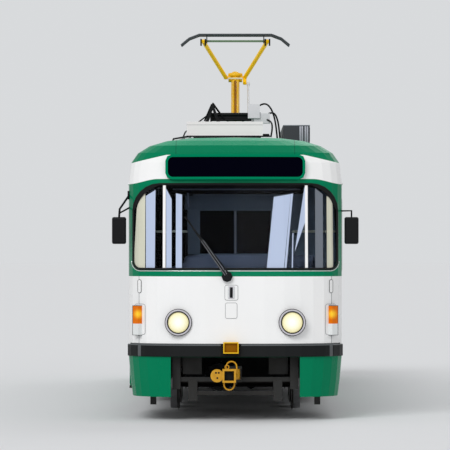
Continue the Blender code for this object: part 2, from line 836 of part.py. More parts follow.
def bow(front, half_width, steps=8):
    """Bowed front edge of the destination box in plan, from -X to +X, as (x, y)."""
    shares = [-1 + 2 * step / steps for step in range(steps + 1)]
    return [(half_width * share, -front + SIGN_SWEEP * share ** 2) for share in shares]


def sign_outline(margin):
    """Elevation of the destination box, shrunk by a margin, as (x, z)."""
    return rounded(-SIGN_HALF_WIDTH + margin, SIGN_HALF_WIDTH - margin, SIGN_BOTTOM_Z + margin,
                   SIGN_TOP_Z - margin, SIGN_CORNER - margin / 2, SIGN_CORNER - margin / 2)


def destination_box(finish):
    """Housing of the destination sign, blank, seated on the front of the roof."""
    span = (-SIGN_FRONT - OVERRUN, -SIGN_BACK)
    half = SIGN_HALF_WIDTH + OVERRUN
    box = part("destination_box", solid(add_prism, sign_outline(0), "Y", *span), finish)
    plan = [(half, OVERRUN - SIGN_BACK), (-half, OVERRUN - SIGN_BACK)] + bow(SIGN_FRONT, half)
    depth = (SIGN_BOTTOM_Z - OVERRUN, SIGN_TOP_Z + OVERRUN)
    boolean(box, "INTERSECT", operand(box, solid(add_prism, plan, "Z", *depth)))
    recess = operand(box, solid(add_prism, sign_outline(SIGN_BORDER), "Y", *span))
    recess.name = "destination_box_recess"
    plan = bow(SIGN_FRONT + SIGN_DEPTH, half) + bow(SIGN_FRONT - SIGN_GLASS_DEPTH, half)[::-1]
    boolean(recess, "INTERSECT", operand(box, solid(add_prism, plan, "Z", *depth)))
    boolean(box, "DIFFERENCE", recess)
    return cut(box, solid(add_nose_solid, -GAP, -1))


def toward(side):
    """Turn local +Z to the outside of an end."""
    return Matrix.Rotation(-side * math.pi / 2, 4, "X")


def round_lamp(name, x, z, radius, lens, side, finish):
    """Round lamp with a rim and a domed lens, standing on the skin of an end."""
    front = skin_y(abs(x) - radius, z) + LAMP_PROUD
    profile = [(0, -LENS_RECESS), (lens * 2 / 3, -LENS_RECESS - LENS_DOME / 3),
               (lens, -LENS_RECESS - LENS_DOME), (lens, -LENS_RECESS / 2),
               (lens + LENS_RECESS / 2, 0), (radius - LENS_RECESS / 2, 0),
               (radius, -LENS_RECESS), (radius, -LAMP_DEPTH), (0, -LAMP_DEPTH)]
    place = Matrix.Translation((x, side * front, z)) @ toward(side)
    return cut(part(name, solid(add_turned, profile, place, LAMP_STEPS), finish),
               solid(add_nose_solid, -GAP, side))


def indicator(name, sign, finish):
    """Corner lamp with a turn lens over a clear lens, set round the corner of the front."""
    bm = bmesh.new()
    add_box(bm, (-INDICATOR_WIDTH / 2, -INDICATOR_DEPTH, -INDICATOR_HEIGHT / 2),
            (INDICATOR_WIDTH / 2, INDICATOR_DEPTH, INDICATOR_HEIGHT / 2))
    x = sign * INDICATOR_X
    place = Matrix.Translation((x, -skin_y(x, INDICATOR_Z), INDICATOR_Z))
    bm.transform(place @ Matrix.Rotation(sign * INDICATOR_TURN, 4, "Z"))
    return cut(part(name, bm, finish), solid(add_nose_solid, -GAP, -1))


def bumper_curve(offset, side):
    """Plan of the end's skin at bumper height, offset outwards, as (x, y)."""
    return [(x, side * (JOINT_Y + y))
            for x, y in plan_curve(HALF_WIDTH + offset, NOSE_REACH + offset)
            if JOINT_Y + y >= BUMPER_END_Y]


def bumper(name, side, finish):
    """Rubber-faced bumper that wraps round an end."""
    outline = bumper_curve(GAP, side) + bumper_curve(BUMPER_DEPTH, side)[::-1]
    body = part(name, solid(add_prism, outline, "Z", BUMPER_BOTTOM_Z, BUMPER_TOP_Z), finish)
    edges = body.modifiers.new("Edges", "BEVEL")
    edges.width = BUMPER_BEVEL
    edges.segments = 1
    edges.limit_method = "ANGLE"
    edges.angle_limit = math.radians(60)
    return body


def socket_box(finish):
    """Open box of the jumper socket on the front bumper."""
    back = HALF_LENGTH + BUMPER_DEPTH + GAP
    front = back + SOCKET_DEPTH
    low = (SOCKET_X - SOCKET_WIDTH / 2, -front, SOCKET_BOTTOM_Z)
    high = (SOCKET_X + SOCKET_WIDTH / 2, -back, SOCKET_TOP_Z)
    inside_low = (low[0] + SOCKET_WALL, -front - OVERRUN, low[2] + SOCKET_WALL)
    inside_high = (high[0] - SOCKET_WALL, -back - SOCKET_WALL, high[2] - SOCKET_WALL)
    return cut(part("socket_box", solid(add_box, low, high), finish),
               solid(add_box, inside_low, inside_high))


def mirror(name, sign, foot_z, drop, finish):
    """Outside mirror on its arm, which leaves the corner pillar at a height and then drops."""
    x = sign * MIRROR_X
    head = solid(add_box,
                 (x - MIRROR_WIDTH / 2, MIRROR_Y - MIRROR_DEPTH / 2, MIRROR_Z - MIRROR_HEIGHT / 2),
                 (x + MIRROR_WIDTH / 2, MIRROR_Y + MIRROR_DEPTH / 2, MIRROR_Z + MIRROR_HEIGHT / 2))
    bmesh.ops.bevel(head, geom=head.edges[:], offset=MIRROR_BEVEL, segments=2, profile=0.5,
                    affect="EDGES", material=-1)
    foot_x = sign * (HALF_WIDTH - MIRROR_FOOT)
    arm = [(foot_x, MIRROR_FOOT_Y, foot_z), (x, MIRROR_Y, foot_z - drop),
           (x, MIRROR_Y, MIRROR_Z)]
    body = cut(part(name, solid(add_tube, arm, MIRROR_ROD), finish),
               solid(add_nose_solid, -GAP, -1))
    return join(body, head)


def wiper(finish):
    """Windscreen wiper with its boss, arm and blade."""
    def over_glass(x, z, clear):
        return (x, -skin_y(x, z) - clear, z)

    boss_y = -skin_y(WIPER_X, WIPER_Z)
    body = part("wiper", solid(add_rod, (WIPER_X, boss_y + OVERRUN, WIPER_Z),
                               (WIPER_X, boss_y - WIPER_CLEAR - WIPER_ROD, WIPER_Z),
                               WIPER_BOSS), finish)
    root = over_glass(WIPER_X, WIPER_Z, WIPER_CLEAR)
    tip = over_glass(WIPER_TIP_X, WIPER_TIP_Z, WIPER_CLEAR)
    join(body, solid(add_rod, root, tip, WIPER_ARM, tip=WIPER_ROD))
    way = (Vector(tip) - Vector(root)).normalized()
    beside = Vector(root) + Vector((way.z, 0, -way.x)) * WIPER_SPREAD
    join(body, solid(add_rod, beside, Vector(tip) - way * WIPER_JOIN, WIPER_ROD))
    blade_end = Vector(tip) - way * WIPER_BLADE_LENGTH
    low = over_glass(tip[0], tip[2], WIPER_BLADE)
    high = over_glass(blade_end.x, blade_end.z, WIPER_BLADE)
    join(body, solid(add_rod, low, high, WIPER_BLADE))
    bridge = Vector(tip) - way * WIPER_BLADE_LENGTH / 2
    join(body, solid(add_rod, bridge, over_glass(bridge.x, bridge.z, WIPER_BLADE), WIPER_ROD))
    return cut(body, solid(add_nose_solid, -GAP, -1))


def floor_plan():
    """Outline of the floor plate inside the walls and both ends, as (x, y)."""
    half = HALF_WIDTH - WALL - GAP
    reach = NOSE_REACH - WALL - GAP
    rear = [(x, JOINT_Y + y) for x, y in plan_curve(half, reach)]
    return rear + [(-x, -y) for x, y in rear]


def underframe(finish):
    """Floor plate with its sills, step wells, coupler beams and bogie centres."""
    top = FLOOR_Z
    bottom = FLOOR_Z - FLOOR_THICKNESS
    body = part("underframe", solid(add_prism, floor_plan(), "Z", bottom, top), finish)
    wall_x = -(HALF_WIDTH - WALL)
    first_x = wall_x + STEP_DEPTH - LEAF_THICKNESS
    second_x = first_x + STEP_SECOND_DEPTH
    second_z = STEP_Z + STEP_RISE
    outer_x = -(SKIRT_HALF_WIDTH - WALL) + EDGE_GAP
    wells = bmesh.new()
    stairs = bmesh.new()
    cheeks = bmesh.new()
    nosings = bmesh.new()
    for centre in DOOR_CENTRES:
        low_y = centre - DOOR_WIDTH / 2
        high_y = centre + DOOR_WIDTH / 2
        add_box(wells, (wall_x - OVERRUN, low_y, bottom - OVERRUN),
                (second_x, high_y, top + OVERRUN))
        tread = STEP_THICKNESS
        add_prism(stairs, [
            (outer_x, STEP_Z), (outer_x, STEP_Z - tread), (first_x + tread, STEP_Z - tread),
            (first_x + tread, second_z - tread), (second_x + tread, second_z - tread),
            (second_x + tread, top - GAP), (second_x, top - GAP), (second_x, second_z),
            (first_x, second_z), (first_x, STEP_Z)], "Y", low_y - tread, high_y + tread)
        for edge, way in ((low_y, -1), (high_y, 1)):
            add_prism(cheeks, [
                (outer_x, STEP_Z - tread / 2), (first_x + tread / 2, STEP_Z - tread / 2),
                (second_x + tread / 2, second_z - tread / 2), (second_x + tread / 2, top - tread / 2),
                (outer_x, top - tread / 2)],
                "Y", *sorted((edge, edge + way * tread * 2 / 3)))
        add_box(nosings, (-HALF_WIDTH + TREAD_REACH, low_y + EDGE_GAP, STEP_Z - tread + GAP),
                (outer_x + tread, high_y - EDGE_GAP, STEP_Z - EDGE_GAP))
    cut(body, wells)
    join(body, stairs, cheeks, nosings)
    sills = bmesh.new()
    for sign in (-1, 1):
        x = sign * SILL_BEAM_X
        add_box(sills, (x - SILL_BEAM_WIDTH / 2, -POST_FRONT + POST_DEPTH, SILL_BEAM_BOTTOM_Z),
                (x + SILL_BEAM_WIDTH / 2, POST_FRONT - POST_DEPTH, bottom + GAP))
    centres = bmesh.new()
    for side in (-1, 1):
        add_rod(centres, (0, side * BOGIE_Y, BOLSTER_TOP_Z + GAP), (0, side * BOGIE_Y, bottom + GAP),
                PIVOT_RADIUS, TURN_STEPS)
    posts = bmesh.new()
    beams = bmesh.new()
    lugs = bmesh.new()
    pins = bmesh.new()
    guards = bmesh.new()
    guard_bars = bmesh.new()
    chests = bmesh.new()
    for side in (-1, 1):
        near, far = reach_of(side, POST_FRONT - POST_DEPTH, POST_FRONT)
        for sign in (-1, 1):
            x = sign * POST_X
            add_box(posts, (x - POST_WIDTH / 2, near, POST_BOTTOM_Z),
                    (x + POST_WIDTH / 2, far, bottom + GAP))
        add_box(beams, (-POST_X, near + LUG_THICKNESS, BEAM_BOTTOM_Z),
                (POST_X, far - LUG_THICKNESS, BEAM_TOP_Z))
        middle = side * (POST_FRONT - POST_DEPTH / 2)
        chest_y = reach_of(side, HALF_LENGTH - CHEST_SETBACK - CHEST_DEPTH,
                           HALF_LENGTH - CHEST_SETBACK)
        sander_y = side * (HALF_LENGTH - SANDER_SETBACK)
        for sign in (-1, 1):
            add_box(guards, (sign * GUARD_X - GUARD_WIDTH / 2, middle - GUARD_DEPTH / 2, GUARD_BOTTOM_Z),
                    (sign * GUARD_X + GUARD_WIDTH / 2, middle + GUARD_DEPTH / 2,
                     BEAM_BOTTOM_Z + GUARD_LAP))
            add_box(chests, (sign * CHEST_X - CHEST_WIDTH / 2, chest_y[0], CHEST_BOTTOM_Z),
                    (sign * CHEST_X + CHEST_WIDTH / 2, chest_y[1], bottom + GAP))
            add_box(chests, (sign * SANDER_X - SANDER_WIDTH / 2, sander_y - SANDER_THICKNESS / 2,
                             SANDER_BOTTOM_Z),
                    (sign * SANDER_X + SANDER_WIDTH / 2, sander_y + SANDER_THICKNESS / 2,
                     bottom + GAP))
        add_box(guard_bars, (-GUARD_X, middle - GUARD_BAR_DEPTH / 2, GUARD_BAR_Z),
                (GUARD_X, middle + GUARD_BAR_DEPTH / 2, GUARD_BAR_Z + GUARD_BAR_HEIGHT))
        levels = (BEAM_BOTTOM_Z, LUG_TOP_Z - LUG_THICKNESS)
        outline = []
        ends = (POST_FRONT - POST_DEPTH / 2, DRAW_PIN_Y + EYE_RADIUS)
        web = POST_FRONT + LUG_THICKNESS / 2
        for y, z in ((ends[0], levels[0]), (ends[1], levels[0]),
                     (ends[1], levels[0] + LUG_THICKNESS), (web, levels[0] + LUG_THICKNESS),
                     (web, levels[1]), (ends[1], levels[1]), (ends[1], LUG_TOP_Z),
                     (ends[0], LUG_TOP_Z)):
            outline.append((side * y, z))
        add_prism(lugs, outline, "X", -LUG_HALF_WIDTH, LUG_HALF_WIDTH)
        add_rod(pins, (0, side * DRAW_PIN_Y, BEAM_BOTTOM_Z - LUG_THICKNESS),
                (0, side * DRAW_PIN_Y, LUG_TOP_Z + LUG_THICKNESS / 2), DRAW_PIN_RADIUS)
    return join(body, sills, centres, posts, beams, guards, guard_bars, chests, lugs, pins)


def coupler(name, side, finish):
    """Folded coupler: eye on the draw pin, shank, drum, open block and two lift loops."""
    pivot = (0, side * DRAW_PIN_Y, COUPLER_Z)
    low_z = BEAM_BOTTOM_Z + LUG_THICKNESS + LUG_GAP
    high_z = LUG_TOP_Z - LUG_THICKNESS - LUG_GAP
    body = part(name, solid(add_rod, (0, pivot[1], low_z), (0, pivot[1], high_z), EYE_RADIUS,
                            TURN_STEPS), finish, pivot)
    head_x = side * -COUPLER_X
    drum_x = side * -COUPLER_DRUM_X
    near = COUPLER_HEAD_Y - COUPLER_BLOCK_DEPTH / 2
    block_low, block_high = reach_of(side, near, COUPLER_HEAD_Y + COUPLER_BLOCK_DEPTH / 2)
    half = COUPLER_BLOCK / 2
    join(body, solid(add_rod, (0, side * DRAW_PIN_Y, COUPLER_Z),
                     (head_x / 2, side * (near + half / 2), COUPLER_Z), SHANK_RADIUS))
    join(body, solid(add_box, (head_x - half, block_low, COUPLER_Z - half),
                     (head_x + half, block_high, COUPLER_Z + half)))
    mouth_low, mouth_high = reach_of(side, COUPLER_HEAD_Y, COUPLER_HEAD_Y + COUPLER_BLOCK_DEPTH)
    cut(body, solid(add_box, (head_x - half * COUPLER_MOUTH_SHARE, mouth_low, COUPLER_Z - half * COUPLER_MOUTH_SHARE),
                    (head_x + half * COUPLER_MOUTH_SHARE, mouth_high, COUPLER_Z + half * COUPLER_MOUTH_SHARE)))
    join(body, solid(add_rod, (drum_x, side * (COUPLER_HEAD_Y - COUPLER_DRUM_DEPTH / 2), COUPLER_Z),
                     (drum_x, side * (COUPLER_HEAD_Y + COUPLER_DRUM_DEPTH / 2), COUPLER_Z),
                     COUPLER_DRUM_RADIUS, TURN_STEPS))
    loops = bmesh.new()
    for middle, lift in ((head_x + side * -half / 3, 1), (head_x, -1)):
        edge = COUPLER_Z + lift * (half - COUPLER_LOOP_WIRE)
        crown = edge + lift * (COUPLER_LOOP_HEIGHT - COUPLER_LOOP_HALF)
        reach = side * COUPLER_HEAD_Y
        bend = [(middle - COUPLER_LOOP_HALF * math.cos(math.pi * n / LOOP_STEPS), reach,
                 crown + lift * COUPLER_LOOP_HALF * math.sin(math.pi * n / LOOP_STEPS))
                for n in range(LOOP_STEPS + 1)]
        add_tube(loops, [(middle - COUPLER_LOOP_HALF, reach, edge), *bend,
                         (middle + COUPLER_LOOP_HALF, reach, edge)], COUPLER_LOOP_WIRE)
    join(body, loops)
    return cut(body, solid(add_rod, (0, pivot[1], low_z - OVERRUN), (0, pivot[1], high_z + OVERRUN),
                           DRAW_PIN_RADIUS + BEARING_GAP, TURN_STEPS))


def wheelset(name, y, finish):
    """Axle with its two wheels, the tyres outside the bogie frame."""
    half = FLANGE_X + TYRE_WIDTH
    web = (FLANGE_X + half - WEB_WIDTH) / 2
    rim = TREAD_RADIUS - RIM_DEPTH
    hub_in = (FLANGE_X + half - HUB_WIDTH) / 2
    hub_out = hub_in + HUB_WIDTH
    side = [(0, hub_out), (HUB_RADIUS, hub_out), (HUB_RADIUS, web + WEB_WIDTH),
            (rim, web + WEB_WIDTH), (rim, half), (TREAD_RADIUS - TREAD_CONE, half),
            (TREAD_RADIUS, FLANGE_X + FLANGE_WIDTH), (WHEEL_RADIUS, FLANGE_X + FLANGE_WIDTH / 2),
            (rim, FLANGE_X), (rim, web),
            (AXLE_RADIUS, web)]
    profile = side + [(r, -x) for r, x in reversed(side)]
    pivot = (0, y, WHEEL_RADIUS)
    return part(name, solid(add_turned, profile,
                            Matrix.Translation(pivot) @ Matrix.Rotation(math.pi / 2, 4, "Y"),
                            steps=WHEEL_STEPS), finish, pivot)


def bogie_frame(name, y, finish):
    """Inside frame with its bolster, two motors and track brakes."""
    pivot = (0, y, BOLSTER_TOP_Z)
    middle = (FRAME_BOTTOM_Z + FRAME_TOP_Z) / 2
    sides = bmesh.new()
    sleeves = bmesh.new()
    bores = bmesh.new()
    motors = bmesh.new()
    hangers = bmesh.new()
    shoes = bmesh.new()
    for sign in (-1, 1):
        x = sign * FRAME_X
        add_box(sides, (x - FRAME_WIDTH / 2, y - FRAME_HALF_LENGTH, FRAME_BOTTOM_Z),
                (x + FRAME_WIDTH / 2, y + FRAME_HALF_LENGTH, FRAME_TOP_Z))
        for end in (-1, 1):
            axle = y + end * AXLE_Y
            add_rod(sleeves, (x - FRAME_WIDTH / 3, axle, WHEEL_RADIUS),
                    (x + FRAME_WIDTH / 3, axle, WHEEL_RADIUS), SLEEVE_RADIUS, TURN_STEPS)
            add_rod(bores, (x - FRAME_WIDTH, axle, WHEEL_RADIUS),
                    (x + FRAME_WIDTH, axle, WHEEL_RADIUS), AXLE_RADIUS + AXLE_GAP, TURN_STEPS)
        brake_x = sign * BRAKE_X
        add_box(shoes, (brake_x - BRAKE_WIDTH / 2, y - BRAKE_HALF_LENGTH, BRAKE_BOTTOM_Z),
                (brake_x + BRAKE_WIDTH / 2, y + BRAKE_HALF_LENGTH, BRAKE_TOP_Z))
        add_prism(hangers, [
            (sign * (BOLSTER_HALF_WIDTH - BRAKE_HANGER), FRAME_TOP_Z - BRAKE_HANGER),
            (sign * (BRAKE_X + BRAKE_HANGER / 2), FRAME_TOP_Z - BRAKE_HANGER),
            (sign * (BRAKE_X + BRAKE_HANGER / 2), BRAKE_TOP_Z - BRAKE_HANGER),
            (sign * (BRAKE_X - BRAKE_HANGER / 2), BRAKE_TOP_Z - BRAKE_HANGER),
            (sign * (BRAKE_X - BRAKE_HANGER / 2), FRAME_TOP_Z - BRAKE_HANGER * 2),
            (sign * (BOLSTER_HALF_WIDTH - BRAKE_HANGER), FRAME_TOP_Z - BRAKE_HANGER * 2)],
            "Y", y - BRAKE_HANGER, y + BRAKE_HANGER)
    for end in (-1, 1):
        near, far = sorted((y + end * MOTOR_NEAR_Y * 0.5, y + end * MOTOR_FAR_Y))
        x = end * MOTOR_X
        add_rod(motors, (x, near, MOTOR_Z), (x, far, MOTOR_Z), MOTOR_RADIUS)
    body = part(name, solid(add_box,
                            (-BOLSTER_HALF_WIDTH, y - BOLSTER_HALF_LENGTH, BOLSTER_BOTTOM_Z),
                            (BOLSTER_HALF_WIDTH, y + BOLSTER_HALF_LENGTH, BOLSTER_TOP_Z)),
                finish, pivot)
    join(body, sides, sleeves, motors, hangers, shoes)
    return cut(body, bores)


def door_leaves(doorway, centre, finish):
    """Four leaves of one doorway, two from each post, with the panes set in."""
    length = (DOOR_WIDTH / 2 - LEAF_POST_GAP - 2 * LEAF_HINGE_GAP - LEAF_MIDDLE_GAP) / 2
    x = -(HALF_WIDTH - WALL / 2)
    fold_x = x - LEAF_THICKNESS / 2 - LEAF_HINGE_GAP
    for side, post in ((-1, "front"), (1, "rear")):
        post_y = centre + side * DOOR_WIDTH / 2
        outer_start = post_y - side * LEAF_POST_GAP
        hinge_y = outer_start - side * (length + LEAF_HINGE_GAP)
        inner_start = hinge_y - side * LEAF_HINGE_GAP
        pivot_y = outer_start - side * LEAF_PIVOT_INSET
        for kind, start, pivot in (("outer", outer_start, (x, pivot_y, DOOR_BOTTOM_Z)),
                                   ("inner", inner_start, (fold_x, hinge_y, DOOR_BOTTOM_Z))):
            low_y, high_y = sorted((start, start - side * length))
            leaf = part(f"door_{doorway}_{post}_{kind}", solid(
                add_box, (x - LEAF_THICKNESS / 2, low_y, DOOR_BOTTOM_Z),
                (x + LEAF_THICKNESS / 2, high_y, DOOR_TOP_Z)), finish, pivot)
            pockets = bmesh.new()
            outline = rounded(low_y + LEAF_RAIL, high_y - LEAF_RAIL, LEAF_GLASS_Z,
                              DOOR_TOP_Z - LEAF_RAIL, LEAF_RAIL / 2, LEAF_RAIL / 2)
            for low_x, high_x in ((x - LEAF_THICKNESS, x - LEAF_PANE / 2),
                                  (x + LEAF_PANE / 2, x + LEAF_THICKNESS)):
                add_prism(pockets, outline, "X", low_x, high_x)
            cut(leaf, pockets)
            fittings = bmesh.new()
            if kind == "outer":
                for low_z, high_z in ((STEP_Z - EDGE_GAP + GAP, DOOR_BOTTOM_Z + LEAF_PIN),
                                      (DOOR_TOP_Z - LEAF_PIN, DOOR_TOP_Z + LEAF_POST_GAP - GAP)):
                    add_rod(fittings, (x, pivot_y, low_z), (x, pivot_y, high_z), LEAF_PIN)
                join(leaf, fittings)
                continue
            flaps = bmesh.new()
            for step in range(BARREL_COUNT):
                low_z = DOOR_BOTTOM_Z + (DOOR_TOP_Z - DOOR_BOTTOM_Z) * (step + 1) / (BARREL_COUNT + 1)
                add_rod(fittings, (fold_x, hinge_y, low_z), (fold_x, hinge_y, low_z + BARREL_HEIGHT),
                        BARREL_RADIUS)
                near_y, far_y = sorted((hinge_y, inner_start - side * BARREL_FLAP))
                add_box(flaps, (x - LEAF_THICKNESS / 2 - BARREL_PLATE, near_y, low_z + BARREL_PLATE),
                        (x - LEAF_THICKNESS / 2 + BARREL_PLATE / 3, far_y,
                         low_z + BARREL_HEIGHT - BARREL_PLATE))
            join(leaf, flaps, fittings)


def panto_points():
    """Pivots of the pantograph at rest as (y, z): base, knuckle, head, rod foot, tail."""
    base = Vector((PANTO_Y, PANTO_Z))
    knuckle = base + LOWER_ARM * Vector((math.cos(LOWER_REST), math.sin(LOWER_REST)))
    head = knuckle + UPPER_ARM * Vector((-math.cos(UPPER_REST), math.sin(UPPER_REST)))
    foot = base - Vector((ROD_FOOT_BACK, ROD_FOOT_DROP))
    turn = UPPER_REST + TAIL_TURN
    tail = knuckle + TAIL_LENGTH * Vector((math.cos(turn), -math.sin(turn)))
    return base, knuckle, head, foot, tail


def at(x, point):
    """Point of the pantograph's side view at a given x."""
    return (x, point[0], point[1])


def pantograph_base(finish):
    """Frame on four insulators with the cheeks of the arm's pivot and the rod's lugs."""
    base, _, _, foot, _ = panto_points()
    corners = [(x, PANTO_Y + y, BASE_Z) for x, y in (
        (-BASE_HALF_WIDTH, -BASE_HALF_LENGTH), (BASE_HALF_WIDTH, -BASE_HALF_LENGTH),
        (BASE_HALF_WIDTH, BASE_HALF_LENGTH), (-BASE_HALF_WIDTH, BASE_HALF_LENGTH))]
    frame = part("pantograph_base", solid(add_tube, corners, BASE_TUBE, closed=True), finish)
    feet = bmesh.new()
    for x, y, z in corners:
        add_rod(feet, (x, y, ROOT_Z), (x, y, z), INSULATOR_RADIUS)
    cross = bmesh.new()
    cross_y = foot[0] - FOOT_CROSS_AHEAD
    for y in (PANTO_Y, cross_y):
        add_rod(cross, (-BASE_HALF_WIDTH, y, BASE_Z), (BASE_HALF_WIDTH, y, BASE_Z),
                BASE_CROSS_TUBE)
    cheeks = bmesh.new()
    for sign in (-1, 1):
        add_prism(cheeks, [(PANTO_Y - CHEEK_FOOT, BASE_Z), (PANTO_Y + CHEEK_FOOT, BASE_Z),
                           (PANTO_Y + AXLE_TUBE, PANTO_Z + AXLE_TUBE),
                           (PANTO_Y - AXLE_TUBE, PANTO_Z + AXLE_TUBE)],
                  "X", *sorted((sign * (AXLE_HALF + LUG_GAP), sign * (AXLE_HALF + CHEEK_THICKNESS))))
    lugs = bmesh.new()
    near = ROD_EYE_HALF + LUG_GAP
    for low, high in ((-near - ROD_EYE_HALF, -near), (near, near + ROD_EYE_HALF)):
        add_prism(lugs, [(cross_y, BASE_Z - BASE_CROSS_TUBE / 2), (foot[0] + ROD_EYE, foot[1] - ROD_EYE),
                         (foot[0] + ROD_EYE, foot[1] + ROD_EYE / 2),
                         (cross_y, BASE_Z + BASE_CROSS_TUBE / 2)], "X", ROD_X + low, ROD_X + high)
    pin = solid(add_rod, at(ROD_X - near - ROD_EYE_HALF / 2, foot),
                at(ROD_X + near + ROD_EYE_HALF / 2, foot), ROD_EYE / 2)
    strut_y = PANTO_Y - BASE_HALF_LENGTH
    strut_top = BASE_Z + STRUT_RISE
    strut = solid(add_prism, [
        (STRUT_X - STRUT_HALF, BASE_Z), (STRUT_X - STRUT_HALF + STRUT_BAR, BASE_Z),
        (STRUT_X, strut_top - 2 * STRUT_BAR), (STRUT_X + STRUT_HALF - STRUT_BAR, BASE_Z),
        (STRUT_X + STRUT_HALF, BASE_Z), (STRUT_X, strut_top)],
        "Y", strut_y - STRUT_THICKNESS / 2, strut_y + STRUT_THICKNESS / 2)
    join(frame, feet, cross, cheeks, lugs, pin, strut)
    cut(frame, solid(add_nose_roof, GAP))
    return cut(frame, solid(add_rod, at(-AXLE_HALF - OVERRUN, base), at(AXLE_HALF + OVERRUN, base),
                            AXLE_TUBE / 2 + BEARING_GAP, TURN_STEPS))


def pantograph_lower_arm(finish):
    """Single tube from the base pivot to the knuckle."""
    base, knuckle, _, _, _ = panto_points()
    arm = part("pantograph_lower_arm", solid(add_rod, at(-AXLE_HALF, base), at(AXLE_HALF, base),
                                             AXLE_TUBE), finish, at(0, base))
    journal = AXLE_HALF + CHEEK_THICKNESS
    join(arm, solid(add_rod, at(-journal, base), at(journal, base), AXLE_TUBE / 2))
    join(arm, solid(add_rod, at(0, base), at(0, knuckle), LOWER_TUBE))
    join(arm, solid(add_rod, at(-KNUCKLE_HALF, knuckle), at(KNUCKLE_HALF, knuckle),
                    KNUCKLE_TUBE))
    return cut(arm, solid(add_rod, at(-UPPER_FOOT_X, knuckle), at(UPPER_FOOT_X, knuckle),
                          KNUCKLE_TUBE / 3 + BEARING_GAP, TURN_STEPS))


def pantograph_upper_arm(finish):
    """Spread pair of tubes from the knuckle to the head, with the tail the rod pushes."""
    _, knuckle, head, _, tail = panto_points()
    foot = UPPER_FOOT_X + UPPER_TUBE
    arm = part("pantograph_upper_arm", solid(add_rod, at(-foot, knuckle), at(foot, knuckle),
                                             KNUCKLE_TUBE / 3), finish, at(0, knuckle))
    legs = bmesh.new()
    for sign in (-1, 1):
        add_rod(legs, at(sign * UPPER_FOOT_X, knuckle), at(sign * UPPER_TOP_X, head), UPPER_TUBE)
    top = UPPER_TOP_X + UPPER_TUBE
    join(arm, legs, solid(add_rod, at(-top, head), at(top, head), HEAD_TUBE))
    join(arm, solid(add_rod, at(UPPER_FOOT_X, knuckle), at(UPPER_FOOT_X, tail), UPPER_TUBE * 0.9))
    return join(arm, solid(add_rod, at(UPPER_FOOT_X, tail), at(ROD_X + ROD_EYE_HALF + LUG_GAP, tail),
                           TAIL_PIN))


def pantograph_rod(finish):
    """Coupling rod from the base to the upper arm's tail, loose on the tail's pin."""
    _, _, _, foot, tail = panto_points()
    rod = part("pantograph_rod", solid(add_rod, at(ROD_X - ROD_EYE_HALF, foot),
                                       at(ROD_X + ROD_EYE_HALF, foot), ROD_EYE), finish, at(ROD_X, foot))
    join(rod, solid(add_rod, at(ROD_X, foot), at(ROD_X, tail), ROD_RADIUS))
    join(rod, solid(add_rod, at(ROD_X - ROD_EYE_HALF, tail), at(ROD_X + ROD_EYE_HALF, tail), ROD_EYE))
    cut(rod, solid(add_rod, at(0, foot), at(ROD_X * 2, foot), ROD_EYE / 2 + BEARING_GAP, TURN_STEPS))
    return cut(rod, solid(add_rod, at(0, tail), at(ROD_X * 2, tail), TAIL_BORE))


def pantograph_head(finish):
    """Collector head: two bowed strips on a pair of brackets."""
    _, _, head, _, _ = panto_points()
    top = head[1] + HEAD_TOP - HEAD_STRIP
    horn_x = HEAD_HALF + HORN_LENGTH
    knee_x = HEAD_HALF + HORN_LENGTH * HORN_KNEE_SHARE
    half_bow = [(HEAD_HALF, 0), (knee_x, HORN_DROP * (1 - HORN_KNEE_SHARE) * 0.8), (horn_x, HORN_DROP)]
    strips = bmesh.new()
    for way in (-1, 1):
        y = head[0] + way * HEAD_STRIP_Y
        add_tube(strips, [(-x, y, top - drop) for x, drop in reversed(half_bow)]
                 + [(x, y, top - drop) for x, drop in half_bow], HEAD_STRIP)
    brackets = bmesh.new()
    for sign in (-1, 1):
        add_prism(brackets, [
            (head[0] - HEAD_TUBE * 2, head[1] - HEAD_TUBE * 2),
            (head[0] + HEAD_TUBE * 2, head[1] - HEAD_TUBE * 2),
            (head[0] + HEAD_STRIP_Y, top - HEAD_STRIP / 2), (head[0] + HEAD_STRIP_Y, top + HEAD_STRIP / 2),
            (head[0] - HEAD_STRIP_Y, top + HEAD_STRIP / 2), (head[0] - HEAD_STRIP_Y, top - HEAD_STRIP / 2)],
            "X", *sorted((sign * HEAD_BRACKET_X, sign * (HEAD_BRACKET_X + HEAD_BRACKET))))
    tie = bmesh.new()
    add_rod(tie, (-HEAD_BRACKET_X, head[0], top), (HEAD_BRACKET_X, head[0], top), HEAD_STRIP / 2)
    body = join(part("pantograph_head", brackets, finish, at(0, head)), tie, strips)
    return cut(body, solid(add_rod, at(-HEAD_HALF, head), at(HEAD_HALF, head),
                           HEAD_TUBE + BEARING_GAP, TURN_STEPS))


def add_nose_roof(bm, clearance):
    """The volume under the roof's skin, grown by a clearance, for trimming what stands on it."""
    half = [(width, z) for z, width, _ in sections(-clearance) if z >= GUTTER_Z]
    outline = half + [(-x, z) for x, z in reversed(half[:-1])]
    add_prism(bm, outline, "Y", -END_Y, END_Y)


def on_roof(body):
    """Trim a piece to the roof's skin."""
    return cut(body, solid(add_nose_roof, GAP))


